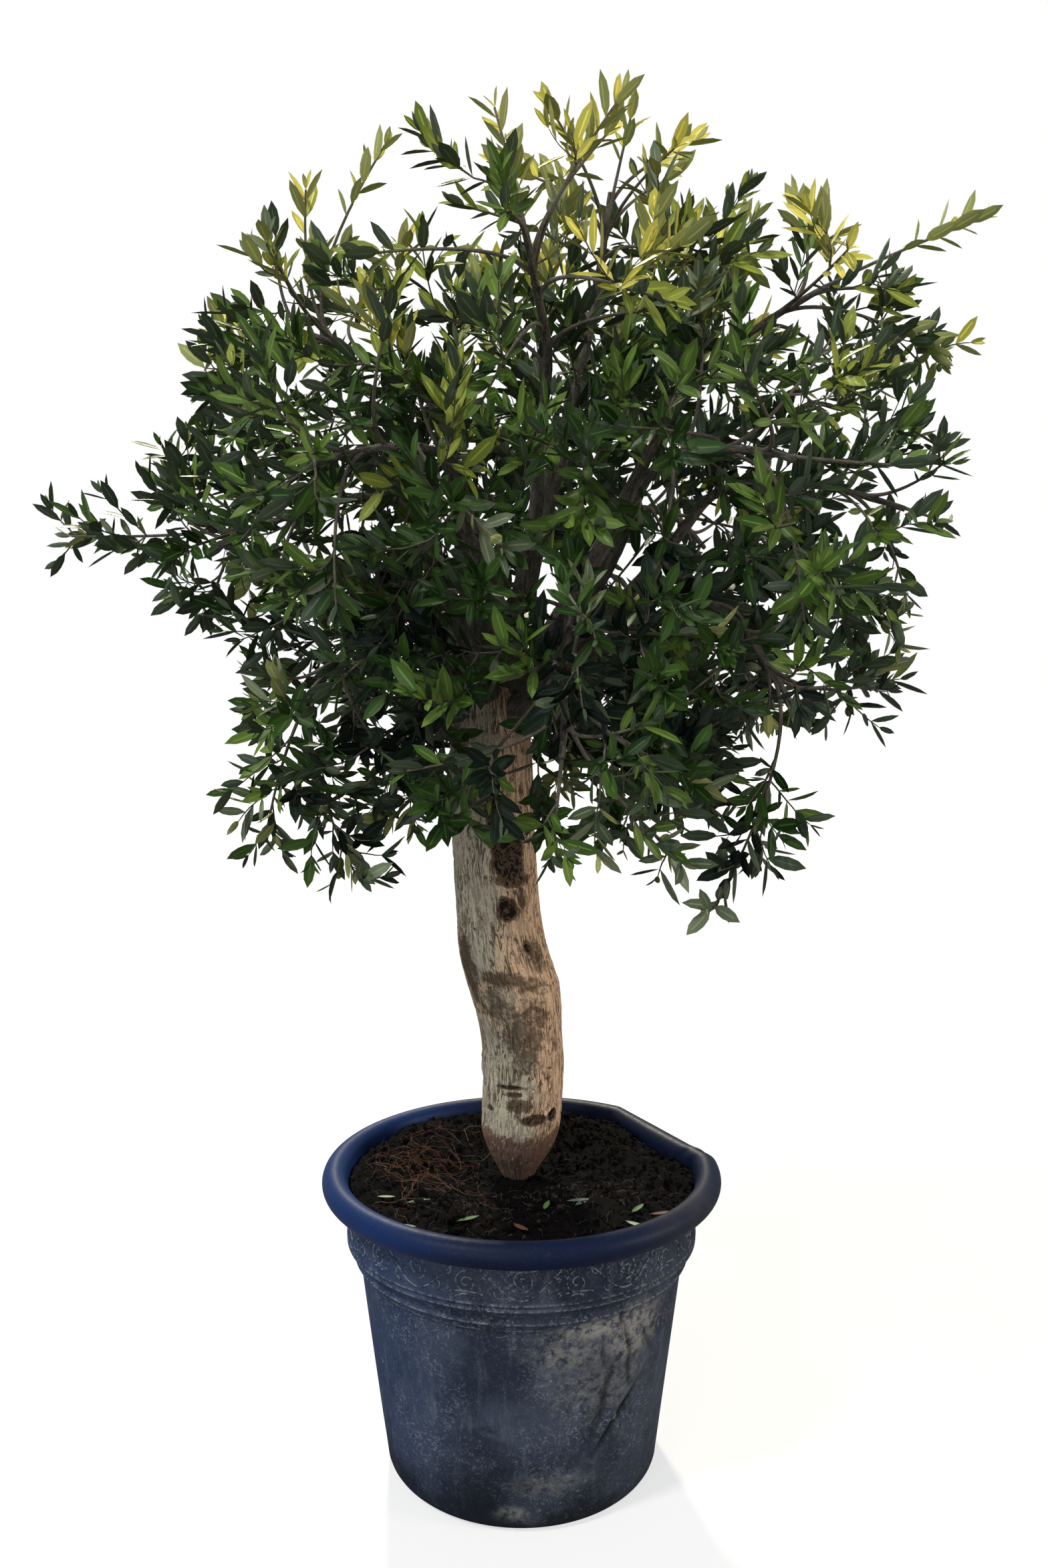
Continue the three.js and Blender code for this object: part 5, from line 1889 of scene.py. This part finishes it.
    def build(self) -> None:
        """Builds and hands over the compost and its litter."""
        earth = EarthFinish("compost", (0.0010, 0.0009, 0.0011), (0.0060, 0.0048, 0.0048), 300).make()
        crumb = EarthFinish("compost_crumb", (0.0012, 0.0010, 0.0012), (0.0125, 0.0098, 0.0092), 340).make()
        chip = EarthFinish("bark_chip", (0.012, 0.008, 0.007), (0.050, 0.031, 0.024), 200).make()
        hand_over(self.make_body(earth), "soil", "soil")
        tree = self.crumb_tree()
        clod_sizes = {"Density": 900.0, "Smallest": 0.004, "Largest": 0.009, "Seed": 11, "Subdivisions": 2}
        chip_sizes = {"Density": 700.0, "Smallest": 0.002, "Largest": 0.0055, "Seed": 29}
        for name, finish, sizes in (
            ("compost_crumbs", crumb, {"Density": 15000.0}),
            ("compost_clods", earth, clod_sizes),
            ("bark_chips", chip, chip_sizes),
        ):
            hand_over(tree.grow(self.surface(f"{name}_ground"), name, **sizes, Earth=finish), "soil")
        pale = EarthFinish("rootlet", (0.120, 0.070, 0.045), (0.290, 0.190, 0.130), 400, 0.85)
        red = EarthFinish("red_rootlet", (0.075, 0.026, 0.016), (0.170, 0.070, 0.042), 400, 0.85)
        fibre = EarthFinish("fibre", (0.07, 0.060, 0.050), (0.20, 0.175, 0.145), 400, 0.85)
        left = (-0.165, 0.040)
        tubes = tube_tree()
        for name, finish, sides, *patch in (
            ("rootlets", pale, 5, 48, left, (0.045, 0.090), (0.045, 0.130), 0.0006),
            ("red_rootlets", red, 5, 64, left, (0.040, 0.085), (0.030, 0.110), 0.0007),
            ("fibres", fibre, 4, 260, (-0.03, 0.0), (0.12, 0.12), (0.006, 0.022), 0.0004),
        ):
            hand_over(make_stems(tubes, name, self.threads(*patch), sides, finish.make()), "soil")
        for piece in self.make_fallen():
            hand_over(piece, "soil")


# ---- studio ----


@dataclass
class Studio:
    """The floor, the lights and the camera."""

    camera_place: tuple[float, float, float] = (0.0035, -1.87, 1.20)
    camera_pitch: float = 0.0906
    lens: float = 29.14
    half_floor: float = 30.0
    floor_colour: Colour = (0.34, 0.34, 0.34)
    floor_glow: Colour = (0.66, 0.66, 0.66)
    floor_bounce: Colour = (0.22, 0.22, 0.23)
    # Each sun's name, its turn, rise and softness in degrees, its power and its colour.
    suns: tuple[tuple, ...] = (
        ("key", -140, 52, 8, 1.6, (1.0, 0.98, 0.94)),
        ("back", 100, 42, 5, 3.0, (1.0, 0.92, 0.70)),
        ("fill", -16, 20, 16, 1.25, (1.0, 0.90, 0.77)),
        ("low_fill", -118, 12, 25, 0.75, (0.88, 0.95, 1.0)),
    )

    def make_floor(self) -> None:
        """A plain pale floor."""
        look = Surface("pale_floor")
        seen = look.add("ShaderNodeLightPath").outputs["Is Camera Ray"]
        material = look.finish(
            Base_Color=look.blend(seen, self.floor_bounce, self.floor_colour),
            Emission_Color=look.blend(seen, (0.0, 0.0, 0.0), self.floor_glow),
            Emission_Strength=1.0,
            Specular_IOR_Level=0.0,
            Roughness=0.9,
        )
        corners = self.half_floor * np.array([(-1, -1, 0), (1, -1, 0), (1, 1, 0), (-1, 1, 0)])
        link_mesh("floor", corners, [[0, 1, 2, 3]], finish=material)

    def light(self) -> None:
        """Makes the suns and the surroundings."""
        for name, turn, rise, softness, power, colour in self.suns:
            light = bpy.data.lights.new(name, "SUN")
            light.energy, light.color, light.angle = power, colour, math.radians(softness)
            link(name, light).rotation_euler = (math.radians(90 - rise), 0, math.radians(turn + 90))
        world = bpy.data.worlds.new("studio")
        world.use_nodes = True
        nodes = Nodes(world.node_tree)
        glow = nodes.add("ShaderNodeBackground", (0.80, 0.89, 1.0, 1.0), 0.36)
        backdrop = nodes.add("ShaderNodeBackground", (1.0, 1.0, 1.0, 1.0), 1.0)
        seen = nodes.add("ShaderNodeLightPath").outputs["Is Camera Ray"]
        nodes.add("ShaderNodeOutputWorld", nodes.add("ShaderNodeMixShader", seen, glow, backdrop))
        bpy.context.scene.world = world

    def build(self) -> None:
        """Makes the floor, the lights and the camera."""
        self.make_floor()
        self.light()
        camera = bpy.data.cameras.new("camera")
        camera.lens, camera.sensor_width, camera.sensor_fit = self.lens, 36, "AUTO"
        stand = link("camera", camera)
        stand.location = self.camera_place
        stand.rotation_euler = (math.pi / 2 - self.camera_pitch, 0, 0)
        bpy.context.scene.camera = stand
        bpy.context.scene.view_settings.view_transform = "Standard"


def main() -> None:
    """Builds the tree, its pot and the studio, and notes how large the finished model is."""
    logging.basicConfig(level=logging.INFO, format="%(name)s: %(message)s")
    Studio().build()
    skeleton = Skeleton()
    Timber(skeleton).build()
    Crown(skeleton).build()
    pot = Pot()
    pot.build()
    Soil(pot).build()


if __name__ == "__main__":
    main()
